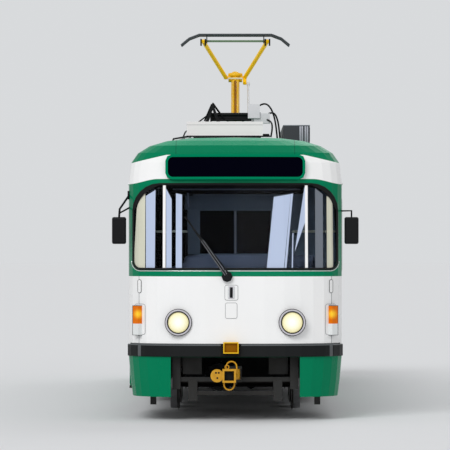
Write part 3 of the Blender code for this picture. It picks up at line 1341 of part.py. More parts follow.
def roof_unit(finish):
    """Long flat converter case on four feet."""
    body = part("roof_unit", solid(
        add_box, (UNIT_X - UNIT_HALF_WIDTH, UNIT_FRONT_Y, UNIT_BOTTOM_Z),
        (UNIT_X + UNIT_HALF_WIDTH, UNIT_BACK_Y, UNIT_TOP_Z)), finish)
    feet = bmesh.new()
    for x in (UNIT_X - UNIT_FOOT_X, UNIT_X + UNIT_FOOT_X):
        for y in (UNIT_FRONT_Y + UNIT_FOOT, UNIT_BACK_Y - UNIT_FOOT):
            add_box(feet, (x - UNIT_FOOT / 2, y - UNIT_FOOT / 2, ROOT_Z),
                    (x + UNIT_FOOT / 2, y + UNIT_FOOT / 2, UNIT_BOTTOM_Z + GAP))
    return on_roof(join(body, feet))


def resistor_bank(finish):
    """Row of resistor boxes on two rails along the side of the roof."""
    rails = bmesh.new()
    end = BANK_FRONT_Y + BANK_PITCH * (BANK_COUNT - 1) + BANK_LENGTH
    for x in (BANK_X - BANK_HALF_WIDTH / 2, BANK_X + BANK_HALF_WIDTH / 2):
        add_box(rails, (x - BANK_RAIL / 2, BANK_FRONT_Y + BANK_RAIL, ROOT_Z),
                (x + BANK_RAIL / 2, end - BANK_RAIL, BANK_BOTTOM_Z + BANK_RAIL))
    boxes = bmesh.new()
    for step in range(BANK_COUNT):
        start = BANK_FRONT_Y + BANK_PITCH * step
        add_box(boxes, (BANK_X - BANK_HALF_WIDTH, start, BANK_BOTTOM_Z),
                (BANK_X + BANK_HALF_WIDTH, start + BANK_LENGTH, BANK_TOP_Z))
    return on_roof(join(part("resistor_bank", rails, finish), boxes))


def roof_boxes(finish):
    """Arrester and junction box side by side on one stand."""
    half = BOX_DEPTH / 2
    body = part("roof_boxes", solid(
        add_box, (BOX_X - BOX_WIDTH / 2, BOX_Y - half, BOX_BOTTOM_Z),
        (BOX_X + BOX_WIDTH / 2, BOX_Y + half, BOX_TOP_Z)), finish)
    join(body, solid(
        add_box, (BOX_X, BOX_Y - half + BOX_POST / 2, SMALL_BOX_BOTTOM_Z),
        (SMALL_BOX_X + SMALL_BOX_WIDTH / 2, BOX_Y + half - BOX_POST / 2, SMALL_BOX_TOP_Z)))
    join(body, solid(add_box, (BOX_X - BOX_POST / 2, BOX_Y - BOX_POST / 2, ROOT_Z),
                     (BOX_X + BOX_POST / 2, BOX_Y + BOX_POST / 2, BOX_BOTTOM_Z + GAP)))
    return on_roof(body)


def roof_duct(finish):
    """Cable duct along the right side of the roof, with a sloping lid."""
    low_x, high_x = DUCT_X - DUCT_WIDTH / 2, DUCT_X + DUCT_WIDTH / 2
    top = CROWN_Z + DUCT_RISE
    outline = [(low_x, ROOT_Z), (high_x, ROOT_Z), (high_x, top), (low_x, top - DUCT_FALL)]
    return on_roof(part("roof_duct", solid(add_prism, outline, "Y", DUCT_FRONT_Y,
                                           DUCT_FRONT_Y + DUCT_LENGTH), finish))


def cab_partition(finish):
    """Partition behind the driver with its pair of windows."""
    half = PARTITION_THICKNESS / 2
    body = part("cab_partition", solid(
        add_box, (PARTITION_DOOR_SIDE_X, PARTITION_Y - half, FLOOR_Z + GAP),
        (HALF_WIDTH - WALL - BELT_THICKNESS - PLINTH_GAP, PARTITION_Y + half, GUTTER_Z)), finish)
    panes = bmesh.new()
    for sign in (-1, 1):
        low, high = sorted((sign * PARTITION_MULLION / 2, sign * PARTITION_WINDOW_HALF))
        add_box(panes, (low, PARTITION_Y - OVERRUN, PARTITION_WINDOW_BOTTOM_Z),
                (high, PARTITION_Y + OVERRUN, PARTITION_WINDOW_TOP_Z))
    return cut(body, panes)


def driver_desk(finish):
    """Dashboard with a low hump of instruments on one pedestal."""
    outline = [(DESK_HALF_WIDTH, DESK_BOTTOM_Z), (DESK_HALF_WIDTH, DESK_TOP_Z),
               (DESK_HUMP_HALF, DESK_HUMP_Z), (-DESK_HUMP_HALF, DESK_HUMP_Z),
               (-DESK_HALF_WIDTH, DESK_TOP_Z), (-DESK_HALF_WIDTH, DESK_BOTTOM_Z)]
    body = part("driver_desk", solid(add_prism, outline, "Y", -DESK_FRONT, -DESK_BACK), finish)
    return join(body, solid(
        add_box, (-DESK_FOOT_HALF, -DESK_FRONT + DESK_FOOT_INSET, FLOOR_Z + GAP),
        (DESK_FOOT_HALF, -DESK_BACK - DESK_FOOT_INSET, DESK_BOTTOM_Z + DESK_FOOT_INSET)))


def add_seat_shell(shells, x, y):
    """Moulded shell of one forward-facing seat, its back raked."""
    front, rear = y - SEAT_DEPTH / 2, y + SEAT_DEPTH / 2
    top = SEAT_Z + SEAT_BACK_HEIGHT
    add_prism(shells, [
        (front, SEAT_Z - SEAT_CUSHION), (rear, SEAT_Z - SEAT_CUSHION), (rear + SEAT_RAKE, top),
        (rear + SEAT_RAKE - SEAT_BACK_THICKNESS, top),
        (rear - SEAT_BACK_THICKNESS, SEAT_Z - SEAT_SAG), (front, SEAT_Z)],
        "X", x - SEAT_WIDTH / 2, x + SEAT_WIDTH / 2)


def seat_row(name, sign, first, count, finish):
    """Row of single seats on a heater plinth along one wall, each with a leg."""
    x = sign * SEAT_X
    wall = sign * (HALF_WIDTH - WALL - PLINTH_GAP)
    face = wall - sign * PLINTH_DEPTH
    start = first - SEAT_DEPTH / 2
    end = first + SEAT_PITCH * (count - 1) + SEAT_DEPTH / 2
    plinth = solid(add_box, (min(wall, face), start, FLOOR_Z + GAP),
                   (max(wall, face), end, SEAT_Z - SEAT_CUSHION / 2))
    shells = bmesh.new()
    legs = bmesh.new()
    for step in range(count):
        y = first + SEAT_PITCH * step
        add_seat_shell(shells, x, y)
        leg_x = x - sign * SEAT_WIDTH / 4
        add_box(legs, (leg_x - SEAT_LEG, y - SEAT_LEG, FLOOR_Z + GAP),
                (leg_x + SEAT_LEG, y + SEAT_LEG, SEAT_Z - SEAT_CUSHION / 2))
    return join(part(name, plinth, finish), shells, legs)


def driver_seat(finish):
    """Driver's seat on a round post and foot plate."""
    shell = solid(add_seat_shell, DRIVER_X, DRIVER_Y)
    foot = solid(add_rod, (DRIVER_X, DRIVER_Y, FLOOR_Z + GAP),
                 (DRIVER_X, DRIVER_Y, FLOOR_Z + DRIVER_FOOT_THICKNESS), DRIVER_FOOT, TURN_STEPS)
    post = solid(add_rod, (DRIVER_X, DRIVER_Y, FLOOR_Z + DRIVER_FOOT_THICKNESS / 2),
                 (DRIVER_X, DRIVER_Y, SEAT_Z - SEAT_CUSHION / 2), DRIVER_POST)
    return join(part("driver_seat", foot, finish), post, shell)


for old in list(bpy.data.objects):
    bpy.data.objects.remove(old)
parts = bpy.data.collections.new("tram")
cutters = bpy.data.collections.new("cutters")
bpy.context.scene.collection.children.link(parts)
bpy.context.scene.collection.children.link(cutters)

white = material("White enamel", "#f1f1f1", 0, 0.30)
green = material("Green enamel", "#007956", 0, 0.30)
glass = material("Tinted glass", "#1b2127", 0, 0.08)
rubber = material("Black rubber", "#191c1b", 0, 0.65)
lamp_glass = material("Lamp glass", "#fdfaf0", 0, 0.12)
amber = material("Amber lens", "#ee7f10", 0, 0.18)
red_lens = material("Red lens", "#a3131a", 0, 0.18)
black = material("Black enamel", "#1c1f21", 0, 0.40)
dark_steel = material("Dark steel", "#2b2b2b", 0.6, 0.55)
wheel_steel = material("Wheel steel", "#3a3a3c", 0.9, 0.40)
yellow = material("Yellow enamel", "#f0c41c", 0, 0.38)
coupler_yellow = material("Coupler enamel", "#d9a81c", 0, 0.45)
carbon = material("Collector strip", "#3a3d40", 0.5, 0.50)
grey = material("Grey enamel", "#bebdc0", 0, 0.40)
lining = material("Pale lining", "#c8d0db", 0, 0.50)
seat_cover = material("Seat cover", "#393d48", 0, 0.75)
bank_grey = material("Resistor case", "#2d2e34", 0.3, 0.50)

underframe(dark_steel)
side_wall("side_wall_right", -1, RIGHT_WINDOWS, DOOR_CENTRES, white)
side_wall("side_wall_left", 1, LEFT_WINDOWS, (), white)
part("roof_shell", solid(add_prism, roof_outline(), "Y", -END_Y, END_Y), green)
belt_end = DOOR_PITCH - DOOR_WIDTH / 2 - BELT_THICKNESS
belt_start = DOOR_WIDTH / 2 + BELT_THICKNESS
window_belt("window_belt_left", 1, LEFT_WINDOWS, -END_Y + OVERRUN, END_Y - OVERRUN, glass)
window_belt("window_belt_right_front", -1, RIGHT_WINDOWS[:3], -belt_end, -belt_start, glass)
window_belt("window_belt_right_rear", -1, RIGHT_WINDOWS[3:], belt_start, belt_end, glass)
for end, side in (("front", -1), ("rear", 1)):
    car_end(end + "_end", side, white)
    screen_glazing(end + "_glazing", side, glass)
    bumper(end + "_bumper", side, rubber)
    coupler("coupler_" + end, side, coupler_yellow)
    bogie_frame("bogie_frame_" + end, side * BOGIE_Y, dark_steel)
destination_box(black)
# Hand, sign of x, height of the mirror arm's foot, fall of the arm to its bend
for hand, sign, foot_z, drop in (("right", -1, MIRROR_ROD_Z, MIRROR_ROD_DROP),
                                 ("left", 1, MIRROR_LEVEL_Z, 0)):
    round_lamp("headlamp_" + hand, sign * HEADLAMP_X, HEADLAMP_Z, HEADLAMP_RADIUS, LENS_RADIUS,
               -1, lamp_glass)
    round_lamp("tail_lamp_" + hand, sign * TAIL_X, TAIL_Z, TAIL_RADIUS, TAIL_LENS, 1, red_lens)
    indicator("indicator_" + hand, sign, amber)
    mirror("mirror_" + hand, sign, foot_z, drop, black)
socket_box(yellow)
wiper(black)
for number, (bogie, axle) in enumerate(((-1, -1), (-1, 1), (1, -1), (1, 1)), start=1):
    wheelset(f"wheelset_{number}", bogie * BOGIE_Y + axle * AXLE_Y, wheel_steel)
for doorway, centre in zip(("front", "middle", "rear"), DOOR_CENTRES):
    door_leaves(doorway, centre, white)
pantograph_base(dark_steel)
pantograph_lower_arm(yellow)
pantograph_upper_arm(yellow)
pantograph_rod(yellow)
pantograph_head(carbon)
roof_unit(white)
resistor_bank(bank_grey)
roof_boxes(grey)
roof_duct(black)
cab_partition(lining)
driver_desk(lining)
driver_seat(seat_cover)
seat_row("seats_left", 1, LEFT_SEATS_Y, 13, seat_cover)
seat_row("seats_right_front", -1, RIGHT_FRONT_SEATS_Y, 5, seat_cover)
seat_row("seats_right_rear", -1, RIGHT_REAR_SEATS_Y, 5, seat_cover)
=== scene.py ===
"""Looks of a four-axle city tram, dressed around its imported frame.

Frame: metres, +Z up, the front faces -Y, the doors are on -X and z = 0 is under the flanges.
"""

from __future__ import annotations

import json
import logging
import math
from dataclasses import dataclass
from enum import Enum
from functools import cached_property, reduce

import bmesh
import bpy
from mathutils import Matrix, Vector

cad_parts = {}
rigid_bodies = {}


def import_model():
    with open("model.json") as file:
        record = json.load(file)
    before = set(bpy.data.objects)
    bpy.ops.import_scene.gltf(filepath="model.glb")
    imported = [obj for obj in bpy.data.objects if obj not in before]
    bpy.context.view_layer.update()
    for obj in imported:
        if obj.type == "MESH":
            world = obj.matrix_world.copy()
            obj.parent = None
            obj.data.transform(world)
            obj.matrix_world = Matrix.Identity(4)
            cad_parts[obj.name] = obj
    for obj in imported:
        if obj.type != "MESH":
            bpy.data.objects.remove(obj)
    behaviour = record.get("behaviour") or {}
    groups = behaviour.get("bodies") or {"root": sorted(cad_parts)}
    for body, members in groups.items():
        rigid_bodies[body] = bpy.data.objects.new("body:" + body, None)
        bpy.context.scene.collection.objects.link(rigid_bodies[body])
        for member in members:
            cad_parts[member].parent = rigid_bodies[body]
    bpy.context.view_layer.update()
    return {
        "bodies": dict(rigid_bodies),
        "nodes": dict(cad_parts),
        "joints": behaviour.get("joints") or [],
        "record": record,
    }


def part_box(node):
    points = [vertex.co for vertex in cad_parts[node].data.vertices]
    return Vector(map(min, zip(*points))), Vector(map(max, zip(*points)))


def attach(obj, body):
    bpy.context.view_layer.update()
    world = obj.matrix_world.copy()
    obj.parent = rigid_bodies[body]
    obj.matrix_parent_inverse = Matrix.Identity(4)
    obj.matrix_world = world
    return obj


LOG = logging.getLogger("tram")
MM = 0.001
# The body's side, the start of the rounded ends, and a place well ahead of the car
HALF_WIDTH = 1.25
STRAIGHT_Y = 6.2
FAR = 12.0
# Edges sharper than this stay sharp in a shaded piece
SHARP_DEGREES = 35.0
# Steps of a rounded corner in an outline
CORNER_STEPS = 6
LIVERY_GREEN = "#007a54"
LINING_GREY = "#5d646b"
WAIST_LOW = 0.742
WAIST_HIGH = 1.669
Point = tuple[float, float, float]
Socket = bpy.types.NodeSocket


class Body(Enum):
    """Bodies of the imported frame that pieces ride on."""

    CAR = "car_body"
    LOWER_ARM = "panto_lower"
    HEAD = "panto_head"
    COUPLER_FRONT = "coupler_front"


class End(Enum):
    """The two ends of the car, by the sign of y."""

    FRONT = -1
    REAR = 1


def linear(code: str) -> tuple[float, float, float, float]:
    """Turns an sRGB hex colour to linear.

    Args:
        code: Colour such as "#f1f1f1".

    Returns:
        Linear red, green, blue and an alpha of 1.
    """
    channels = (int(code[n:n + 2], 16) / 255 for n in (1, 3, 5))
    red, green, blue = (c / 12.92 if c <= 0.04045 else ((c + 0.055) / 1.055) ** 2.4
                        for c in channels)
    return red, green, blue, 1.0


def feed(node: bpy.types.Node, inputs: dict) -> None:
    """Sets a node's inputs.

    Args:
        node: Node to feed.
        inputs: Input name or index to a socket, which is linked, or to a value.
    """
    for key, value in inputs.items():
        if isinstance(value, Socket):
            node.id_data.links.new(value, node.inputs[key])
        else:
            node.inputs[key].default_value = value


def add_node(tree: bpy.types.NodeTree, kind: str, inputs: dict | None = None, output: int = 0,
             **settings: object) -> Socket:
    """Adds a node with its settings and links.

    Args:
        tree: Node tree to add to.
        kind: Blender's name of the node type.
        inputs: Input name or index to a socket or a value.
        output: Which output is wanted.
        **settings: Properties of the node.

    Returns:
        The wanted output socket.
    """
    node = tree.nodes.new(kind)
    for name, value in settings.items():
        setattr(node, name, value)
    feed(node, inputs or {})
    return node.outputs[output]


class Graph:
    """Nodes of one material over its piece's coordinates. A zone is 1 inside and 0 outside."""

    def __init__(self, tree: bpy.types.NodeTree) -> None:
        """Starts from the object's coordinates.

        Args:
            tree: Node tree of the material.
        """
        self.tree = tree
        self.place = add_node(tree, "ShaderNodeTexCoord", output=3)
        self.x, self.y, self.z = self.split(self.place)

    @cached_property
    def across(self) -> Socket:
        """Distance from the car's middle plane."""
        return self.maths("ABSOLUTE", self.x)

    @cached_property
    def along(self) -> Socket:
        """Distance from the car's middle, either way."""
        return self.maths("ABSOLUTE", self.y)

    @cached_property
    def facing(self) -> Socket:
        """Normal of the surface."""
        return add_node(self.tree, "ShaderNodeNewGeometry", output=1)

    @cached_property
    def sideways(self) -> Socket:
        """How far the surface faces either side."""
        return self.maths("ABSOLUTE", self.split(self.facing)[0])

    @cached_property
    def up(self) -> Socket:
        """How far the surface faces up."""
        return self.split(self.facing)[2]

    def split(self, vector: Socket) -> list[Socket]:
        """Gives the x, y and z of a vector."""
        return list(add_node(self.tree, "ShaderNodeSeparateXYZ", {0: vector}).node.outputs)

    def maths(self, operation: str, *values: Socket | float) -> Socket:
        """Gives the result of a sum.

        Args:
            operation: Blender's name of the sum.
            *values: One to three values.

        Returns:
            The result.
        """
        return add_node(self.tree, "ShaderNodeMath", dict(enumerate(values)),
                        operation=operation)

    def over(self, value: Socket, limit: Socket | float) -> Socket:
        """Zone where a value is over a limit."""
        return self.maths("GREATER_THAN", value, limit)

    def under(self, value: Socket, limit: Socket | float) -> Socket:
        """Zone where a value is under a limit."""
        return self.maths("LESS_THAN", value, limit)

    def near(self, value: Socket, centre: float, half: float) -> Socket:
        """Zone where a value is within half a width of a centre."""
        return self.maths("COMPARE", value, centre, half)

    def between(self, value: Socket, low: float, high: float) -> Socket:
        """Zone where a value lies between two limits."""
        return self.near(value, (low + high) / 2, (high - low) / 2)

    def every(self, *zones: Socket) -> Socket:
        """Zone that all the given ones share."""
        return reduce(lambda first, other: self.maths("MULTIPLY", first, other), zones)

    def either(self, *zones: Socket | float) -> Socket:
        """Zone that the given ones cover together."""
        return reduce(lambda first, other: self.maths("MAXIMUM", first, other), zones)

    def beyond(self, value: Socket, limit: float) -> Socket:
        """How far a value is over a limit, and 0 under it."""
        return self.maths("MAXIMUM", self.maths("SUBTRACT", value, limit), 0.0)

    def distance(self, across: Socket, rise: Socket, centre: tuple[float, float] = (0.0, 0.0)
                 ) -> Socket:
        """Distance in an elevation.

        Args:
            across: First coordinate.
            rise: Second coordinate.
            centre: The point that the distance is measured from.

        Returns:
            The distance.
        """
        flat = add_node(self.tree, "ShaderNodeCombineXYZ", {0: across, 1: rise})
        return add_node(self.tree, "ShaderNodeVectorMath", {0: flat, 1: (*centre, 0.0)}, 1,
                        operation="DISTANCE")

    def ramp(self, value: Socket, start: float, end: float, low: float, high: float,
             kind: str = "LINEAR") -> Socket:
        """Clamped ramp.

        Args:
            value: What it follows.
            start: Value at its foot.
            end: Value at its head.
            low: Result at its foot.
            high: Result at its head.
            kind: Blender's name of its shape.

        Returns:
            The result.
        """
        return add_node(self.tree, "ShaderNodeMapRange",
                        {0: value, 1: start, 2: end, 3: low, 4: high}, interpolation_type=kind)

    def noise(self, scale: float, detail: float, roughness: float = 0.5) -> Socket:
        """Cloudy noise over the piece."""
        return add_node(self.tree, "ShaderNodeTexNoise", {
            "Vector": self.place, "Scale": scale, "Detail": detail, "Roughness": roughness})

    def blend(self, zone: Socket, base: Socket | str, cover: Socket | str) -> Socket:
        """Lays one colour over another.

        Args:
            zone: Where, and how much.
            base: The colour outside the zone, as a socket or in hex.
            cover: The colour inside it.

        Returns:
            The blended colour.
        """
        first, second = (linear(item) if isinstance(item, str) else item
                         for item in (base, cover))
        return add_node(self.tree, "ShaderNodeMix", {0: zone, 6: first, 7: second}, 2,
                        data_type="RGBA")


# Finishes

@dataclass(frozen=True)
class Finish:
    """A real finish: a base colour that wanders slowly, a fine grain and a little relief."""

    name: str
    slot: str
    colour: str
    drift: str
    drift_mm: float = 500.0
    roughness: float = 0.35
    spread: float = 0.08
    metallic: float = 0.0
    ior: float = 1.5
    coat: float = 0.0
    grain_mm: float = 10.0
    relief_mm: float = 0.05
    transmission: float = 0.0
    glow: float = 0.0

    def paint(self, graph: Graph, base: Socket) -> Socket:
        """Lays zones over the base colour. A plain finish has none.

        Args:
            graph: Nodes of the material.
            base: The wandering base colour.

        Returns:
            The colour to use.
        """
        return base

    def passing(self, graph: Graph) -> Socket | float:
        """How much light passes through, the same all over unless a finish zones it."""
        return self.transmission

    def build(self) -> bpy.types.Material:
        """Makes the material.

        Returns:
            A new node material with this finish's name.
        """
        material = bpy.data.materials.new(self.name)
        material.use_nodes = True
        graph = Graph(material.node_tree)
        slow = graph.noise(1000 / self.drift_mm, 4.0, 0.55)
        fine = graph.noise(1000 / self.grain_mm, 2.0)
        colour = self.paint(graph, graph.blend(slow, self.colour, self.drift))
        inputs = {
            "Base Color": colour,
            "Roughness": graph.ramp(slow, 0.3, 0.7, max(self.roughness - self.spread, 0.02),
                                    self.roughness + self.spread),
            "Normal": add_node(graph.tree, "ShaderNodeBump", {
                "Height": fine, "Strength": 0.6, "Distance": self.relief_mm * MM}),
            "Metallic": self.metallic,
            "Coat Weight": self.coat,
            "Transmission Weight": self.passing(graph)}
        if not self.metallic:
            inputs["IOR"] = self.ior
        if self.glow:
            inputs.update({"Emission Color": colour, "Emission Strength": self.glow})
        feed(graph.tree.nodes["Principled BSDF"], inputs)
        return material


@dataclass(frozen=True)
class LiveryEnamel(Finish):
    """Sprayed enamel in bands by height: green skirt, white waist, green window zone, white
    cornice and green roof, with the car's pale lining on all inner faces."""

    green_drift: str = "#00744f"
    # Lighter green painted as a highlight where the surface faces up
    painted_highlight: str = "#4cba91"
    highlight_from: float = 0.78
    highlight_share: float = 0.60
    cab_lining: str = "#23272d"
    cab_back_y: float = -5.62
    cornice_low: float = 2.742
    cornice_high: float = 2.99
    # Start and end across the car and the rise of the cornice's two edges, towards the middle
    low_sweep: tuple = (1.24, 0.90, 0.055)
    high_sweep: tuple = (1.20, 0.80, 0.088)
    seam: str = "#9a9d9e"
    roof_seam: str = "#024433"
    seam_x: float = 1.116
    seam_half: float = 0.004
    joint_half: float = 0.0025
    roof_seam_x: float = 0.69
    side_x: float = 1.15
    pillar_start: float = 0.745
    pillar_pitch: float = 1.32
    # The line that the shell is built round, which tells its outside from its inside
    core_y: float = 6.0
    core_z: float = 1.8
    inside_from: float = -0.02

    def cornice_top(self, graph: Graph) -> Socket:
        """Height of the cornice's upper edge."""
        start, end, rise = self.high_sweep
        return graph.maths("ADD", graph.ramp(graph.across, start, end, 0.0, rise),
                           self.cornice_high)

    def bands(self, graph: Graph, base: Socket, waist: Socket) -> Socket:
        """White waist and cornice on green, with a painted highlight where it faces the sky."""
        start, end, rise = self.low_sweep
        sweep = graph.ramp(graph.across, start, end, 0.0, rise, "SMOOTHSTEP")
        low = graph.maths("ADD", sweep, self.cornice_low)
        cornice = graph.every(graph.over(graph.z, low),
                              graph.under(graph.z, self.cornice_top(graph)))
        green = graph.blend(graph.noise(1.6, 3.0), LIVERY_GREEN, self.green_drift)
        # Painted highlight: the more the surface faces up, the lighter the green
        highlight = graph.ramp(graph.up, self.highlight_from, 1.0, 0.0, self.highlight_share)
        green = graph.blend(highlight, green, self.painted_highlight)
        return graph.blend(graph.either(cornice, waist), green, base)

    def seams(self, graph: Graph, skin: Socket, waist: Socket) -> Socket:
        """Thin joints of the waist's panels and of the roof's end panels."""
        corner = graph.near(graph.across, self.seam_x, self.seam_half)
        bay = graph.maths("SUBTRACT", graph.along, self.pillar_start)
        pillar = graph.maths("PINGPONG", bay, self.pillar_pitch / 2)
        joint = graph.every(graph.under(pillar, self.joint_half),
                            graph.over(graph.across, self.side_x),
                            graph.under(graph.along, STRAIGHT_Y))
        skin = graph.blend(graph.every(graph.either(corner, joint), waist), skin, self.seam)
        crown = graph.every(graph.near(graph.across, self.roof_seam_x, self.joint_half),
                            graph.over(graph.z, self.cornice_top(graph)),
                            graph.over(graph.along, STRAIGHT_Y))
        return graph.blend(crown, skin, self.roof_seam)

    def inside(self, graph: Graph) -> Socket:
        """Zone of the faces that look inwards, to the shell's core."""
        core = add_node(graph.tree, "ShaderNodeClamp", {0: graph.y, 1: -self.core_y,
                                                        2: self.core_y})
        outward = add_node(graph.tree, "ShaderNodeCombineXYZ", {
            0: graph.x, 1: graph.maths("SUBTRACT", graph.y, core),
            2: graph.maths("SUBTRACT", graph.z, self.core_z)})
        dot = add_node(graph.tree, "ShaderNodeVectorMath", {0: outward, 1: graph.facing}, 1,
                       operation="DOT_PRODUCT")
        return graph.under(dot, self.inside_from)

    def paint(self, graph: Graph, base: Socket) -> Socket:
        """Bands and seams outside, and the lining inside."""
        waist = graph.between(graph.z, WAIST_LOW, WAIST_HIGH)
        skin = self.seams(graph, self.bands(graph, base, waist), waist)
        lining = graph.blend(graph.under(graph.y, self.cab_back_y), LINING_GREY,
                             self.cab_lining)
        return graph.blend(self.inside(graph), skin, lining)


@dataclass(frozen=True)
class ScreenGlass(Finish):
    """Laminated windscreen glass with a black fired edge and the two white bars between its
    panes."""

    edge: str = "#06070a"
    edge_x: float = 0.88
    edge_z: float = 2.43
    edge_reach: float = 0.268
    edge_slant: float = 0.055
    bar: str = "#f1f1f1"
    bar_x: float = 0.822
    bar_half: float = 0.0165

    def bars(self, graph: Graph) -> Socket:
        """Zone of the bars."""
        return graph.near(graph.across, self.bar_x, self.bar_half)

    def border(self, graph: Graph) -> Socket:
        """Zone of the black edge, which leans in and is rounded at its upper corners."""
        slanted = graph.maths("MULTIPLY_ADD", graph.z, self.edge_slant, graph.across)
        beside = graph.beyond(slanted, self.edge_x + self.edge_slant * self.edge_z)
        return graph.over(graph.distance(beside, graph.beyond(graph.z, self.edge_z)),
                          self.edge_reach)

    def paint(self, graph: Graph, base: Socket) -> Socket:
        """Black edge, and white over the bars."""
        base = graph.blend(self.border(graph), base, self.edge)
        return graph.blend(self.bars(graph), base, self.bar)

    def passing(self, graph: Graph) -> Socket | float:
        """Only the clear glass lets light through."""
        return graph.maths("SUBTRACT", 1.0, graph.either(self.bars(graph), self.border(graph)))


@dataclass(frozen=True)
class FrontScreenGlass(ScreenGlass):
    """Windscreen glass with pale painted reflections in upright and raked bands near its edges."""

    # Colours of the painted reflections
    blue: str = "#b4c1da"
    grey: str = "#70767f"
    cream: str = "#cfcfbd"
    low_z: float = 1.765
    high_z: float = 2.755
    inner_x: float = 0.8065
    # Low and high x at the glass's foot, the same at its head, and the band's height at its low
    # and high x
    blue_bands: tuple = ((-1.035, -0.930, -1.040, -0.925, 2.60, 2.67),
                         (-0.797, -0.735, -0.803, -0.737, 2.69, 2.565),
                         (-0.687, -0.616, -0.687, -0.616, 2.63, 2.615),
                         (0.362, 0.560, 0.462, 0.655, 2.590, 2.625),
                         (0.566, 0.590, 0.656, 0.680, 2.625, 2.64),
                         (0.650, 0.664, 0.674, 0.684, 2.17, 2.17),
                         (0.657, 0.620, 0.809, 0.970, 2.70, 2.70))
    grey_bands: tuple = ((0.925, 1.015, 0.925, 1.015, 2.69, 2.62),)
    cream_bands: tuple = ((-1.180, -1.045, -1.150, -1.045, 2.60, 2.63),
                          (1.062, 1.135, 1.060, 1.130, 2.60, 2.56))

    def bands(self, graph: Graph, table: tuple, limit: float) -> Socket:
        """Bands of painted reflection on the front glass.

        Args:
            graph: Nodes of the material.
            table: Rows of x at the foot and at the head, and of heights.
            limit: The furthest x that they reach.

        Returns:
            The zone of the bands.
        """
        zone: Socket | float = 0.0
        for foot_low, foot_high, head_low, head_high, left_top, right_top in table:
            low, high = (graph.ramp(graph.z, self.low_z, self.high_z, foot, head)
                         for foot, head in ((foot_low, head_low), (foot_high, head_high)))
            top = graph.ramp(graph.x, head_low, head_high, left_top, right_top)
            zone = graph.either(zone, graph.every(
                graph.over(graph.x, low), graph.under(graph.x, high), graph.under(graph.z, top)))
        return graph.every(zone, graph.under(graph.x, limit), graph.under(graph.y, 0.0))

    def paint(self, graph: Graph, base: Socket) -> Socket:
        """Painted reflection bands under the white bars."""
        for table, colour, limit in ((self.grey_bands, self.grey, HALF_WIDTH),
                                     (self.cream_bands, self.cream, HALF_WIDTH),
                                     (self.blue_bands, self.blue, self.inner_x)):
            base = graph.blend(self.bands(graph, table, limit), base, colour)
        return super().paint(graph, base)

    def passing(self, graph: Graph) -> Socket | float:
        """Painted reflections and bars hold the light back."""
        painted_reflections = graph.either(self.bands(graph, self.blue_bands, self.inner_x),
                            self.bands(graph, self.grey_bands + self.cream_bands, HALF_WIDTH))
        return graph.every(graph.maths("SUBTRACT", 1.0, painted_reflections), super().passing(graph))


@dataclass(frozen=True)
class BumperRubber(Finish):
    """Extruded bumper rubber: painted highlight on top, paler scuffed joints, black middle pad."""

    # Grey of the top edge, a painted highlight
    edge: str = "#5c6062"
    joint: str = "#55585a"
    pad: str = "#08090a"
    edge_z: float = 0.871
    joint_x: float = 1.112
    joint_half: float = 0.018
    pad_x: float = -0.05
    pad_half: float = 0.117

    def paint(self, graph: Graph, base: Socket) -> Socket:
        """Joints, the painted highlight along the top edge, and the pad over the rubber."""
        for zone, colour in (
                (graph.near(graph.across, self.joint_x, self.joint_half), self.joint),
                (graph.over(graph.z, self.edge_z), self.edge),
                (graph.near(graph.x, self.pad_x, self.pad_half), self.pad)):
            base = graph.blend(zone, base, colour)
        return base


@dataclass(frozen=True)
class BeltGlass(Finish):
    """Side panes in their inner lining panel: glass outside, pale laminate inside."""

    pane_x: float = 1.2225

    def paint(self, graph: Graph, base: Socket) -> Socket:
        """Laminate on the lining."""
        return graph.blend(graph.over(graph.across, self.pane_x), LINING_GREY, base)

    def passing(self, graph: Graph) -> Socket | float:
        """Only the panes let light through."""
        return graph.over(graph.across, self.pane_x)


@dataclass(frozen=True)
class DoorEnamel(Finish):
    """Door leaf in the body's bands with a glazed upper light."""

    pane: str = "#0c1016"
    pane_low: float = 1.3205
    pane_high: float = 2.5045
    pane_depth: float = 0.0045
    middle_x: float = 1.2275

    def paint(self, graph: Graph, base: Socket) -> Socket:
        """White waist, green above and below, and a tinted pane in its recess."""
        waist = graph.between(graph.z, WAIST_LOW, WAIST_HIGH)
        glazed = graph.every(graph.near(graph.across, self.middle_x, self.pane_depth),
                             graph.between(graph.z, self.pane_low, self.pane_high),
                             graph.over(graph.sideways, 0.7))
        return graph.blend(glazed, graph.blend(waist, LIVERY_GREEN, base), self.pane)


@dataclass(frozen=True)
class SignFace(Finish):
    """Destination sign: a blank black face behind glass in a green enamelled housing."""

    half: float = 0.781
    low: float = 2.8195
    high: float = 3.0505
    corner: float = 0.060

    def paint(self, graph: Graph, base: Socket) -> Socket:
        """Green around the face and its rounded corners."""
        middle = (self.low + self.high) / 2
        rise = graph.maths("ABSOLUTE", graph.maths("SUBTRACT", graph.z, middle))
        away = graph.distance(graph.beyond(graph.across, self.half - self.corner),
                              graph.beyond(rise, middle - self.low - self.corner))
        return graph.blend(graph.under(away, self.corner), LIVERY_GREEN, base)


@dataclass(frozen=True)
class RoundLampGlass(Finish):
    """Round lamp: a glowing lens inside a grey and a black ring."""

    ring: str = "#8d9093"
    rim: str = "#17191a"
    outer: str = "#efe6ae"
    centre: tuple[float, float] = (0.656, 1.139)
    lens: float = 0.1195
    ring_edge: float = 0.137

    def paint(self, graph: Graph, base: Socket) -> Socket:
        """Rings by their distance from the lamp's axis."""
        away = graph.distance(graph.across, graph.z, self.centre)
        rings = graph.blend(graph.over(away, self.ring_edge), self.ring, self.rim)
        spread = graph.ramp(away, self.lens * 0.25, self.lens, 0.0, 1.0)
        return graph.blend(graph.over(away, self.lens), graph.blend(spread, base, self.outer),
                           rings)


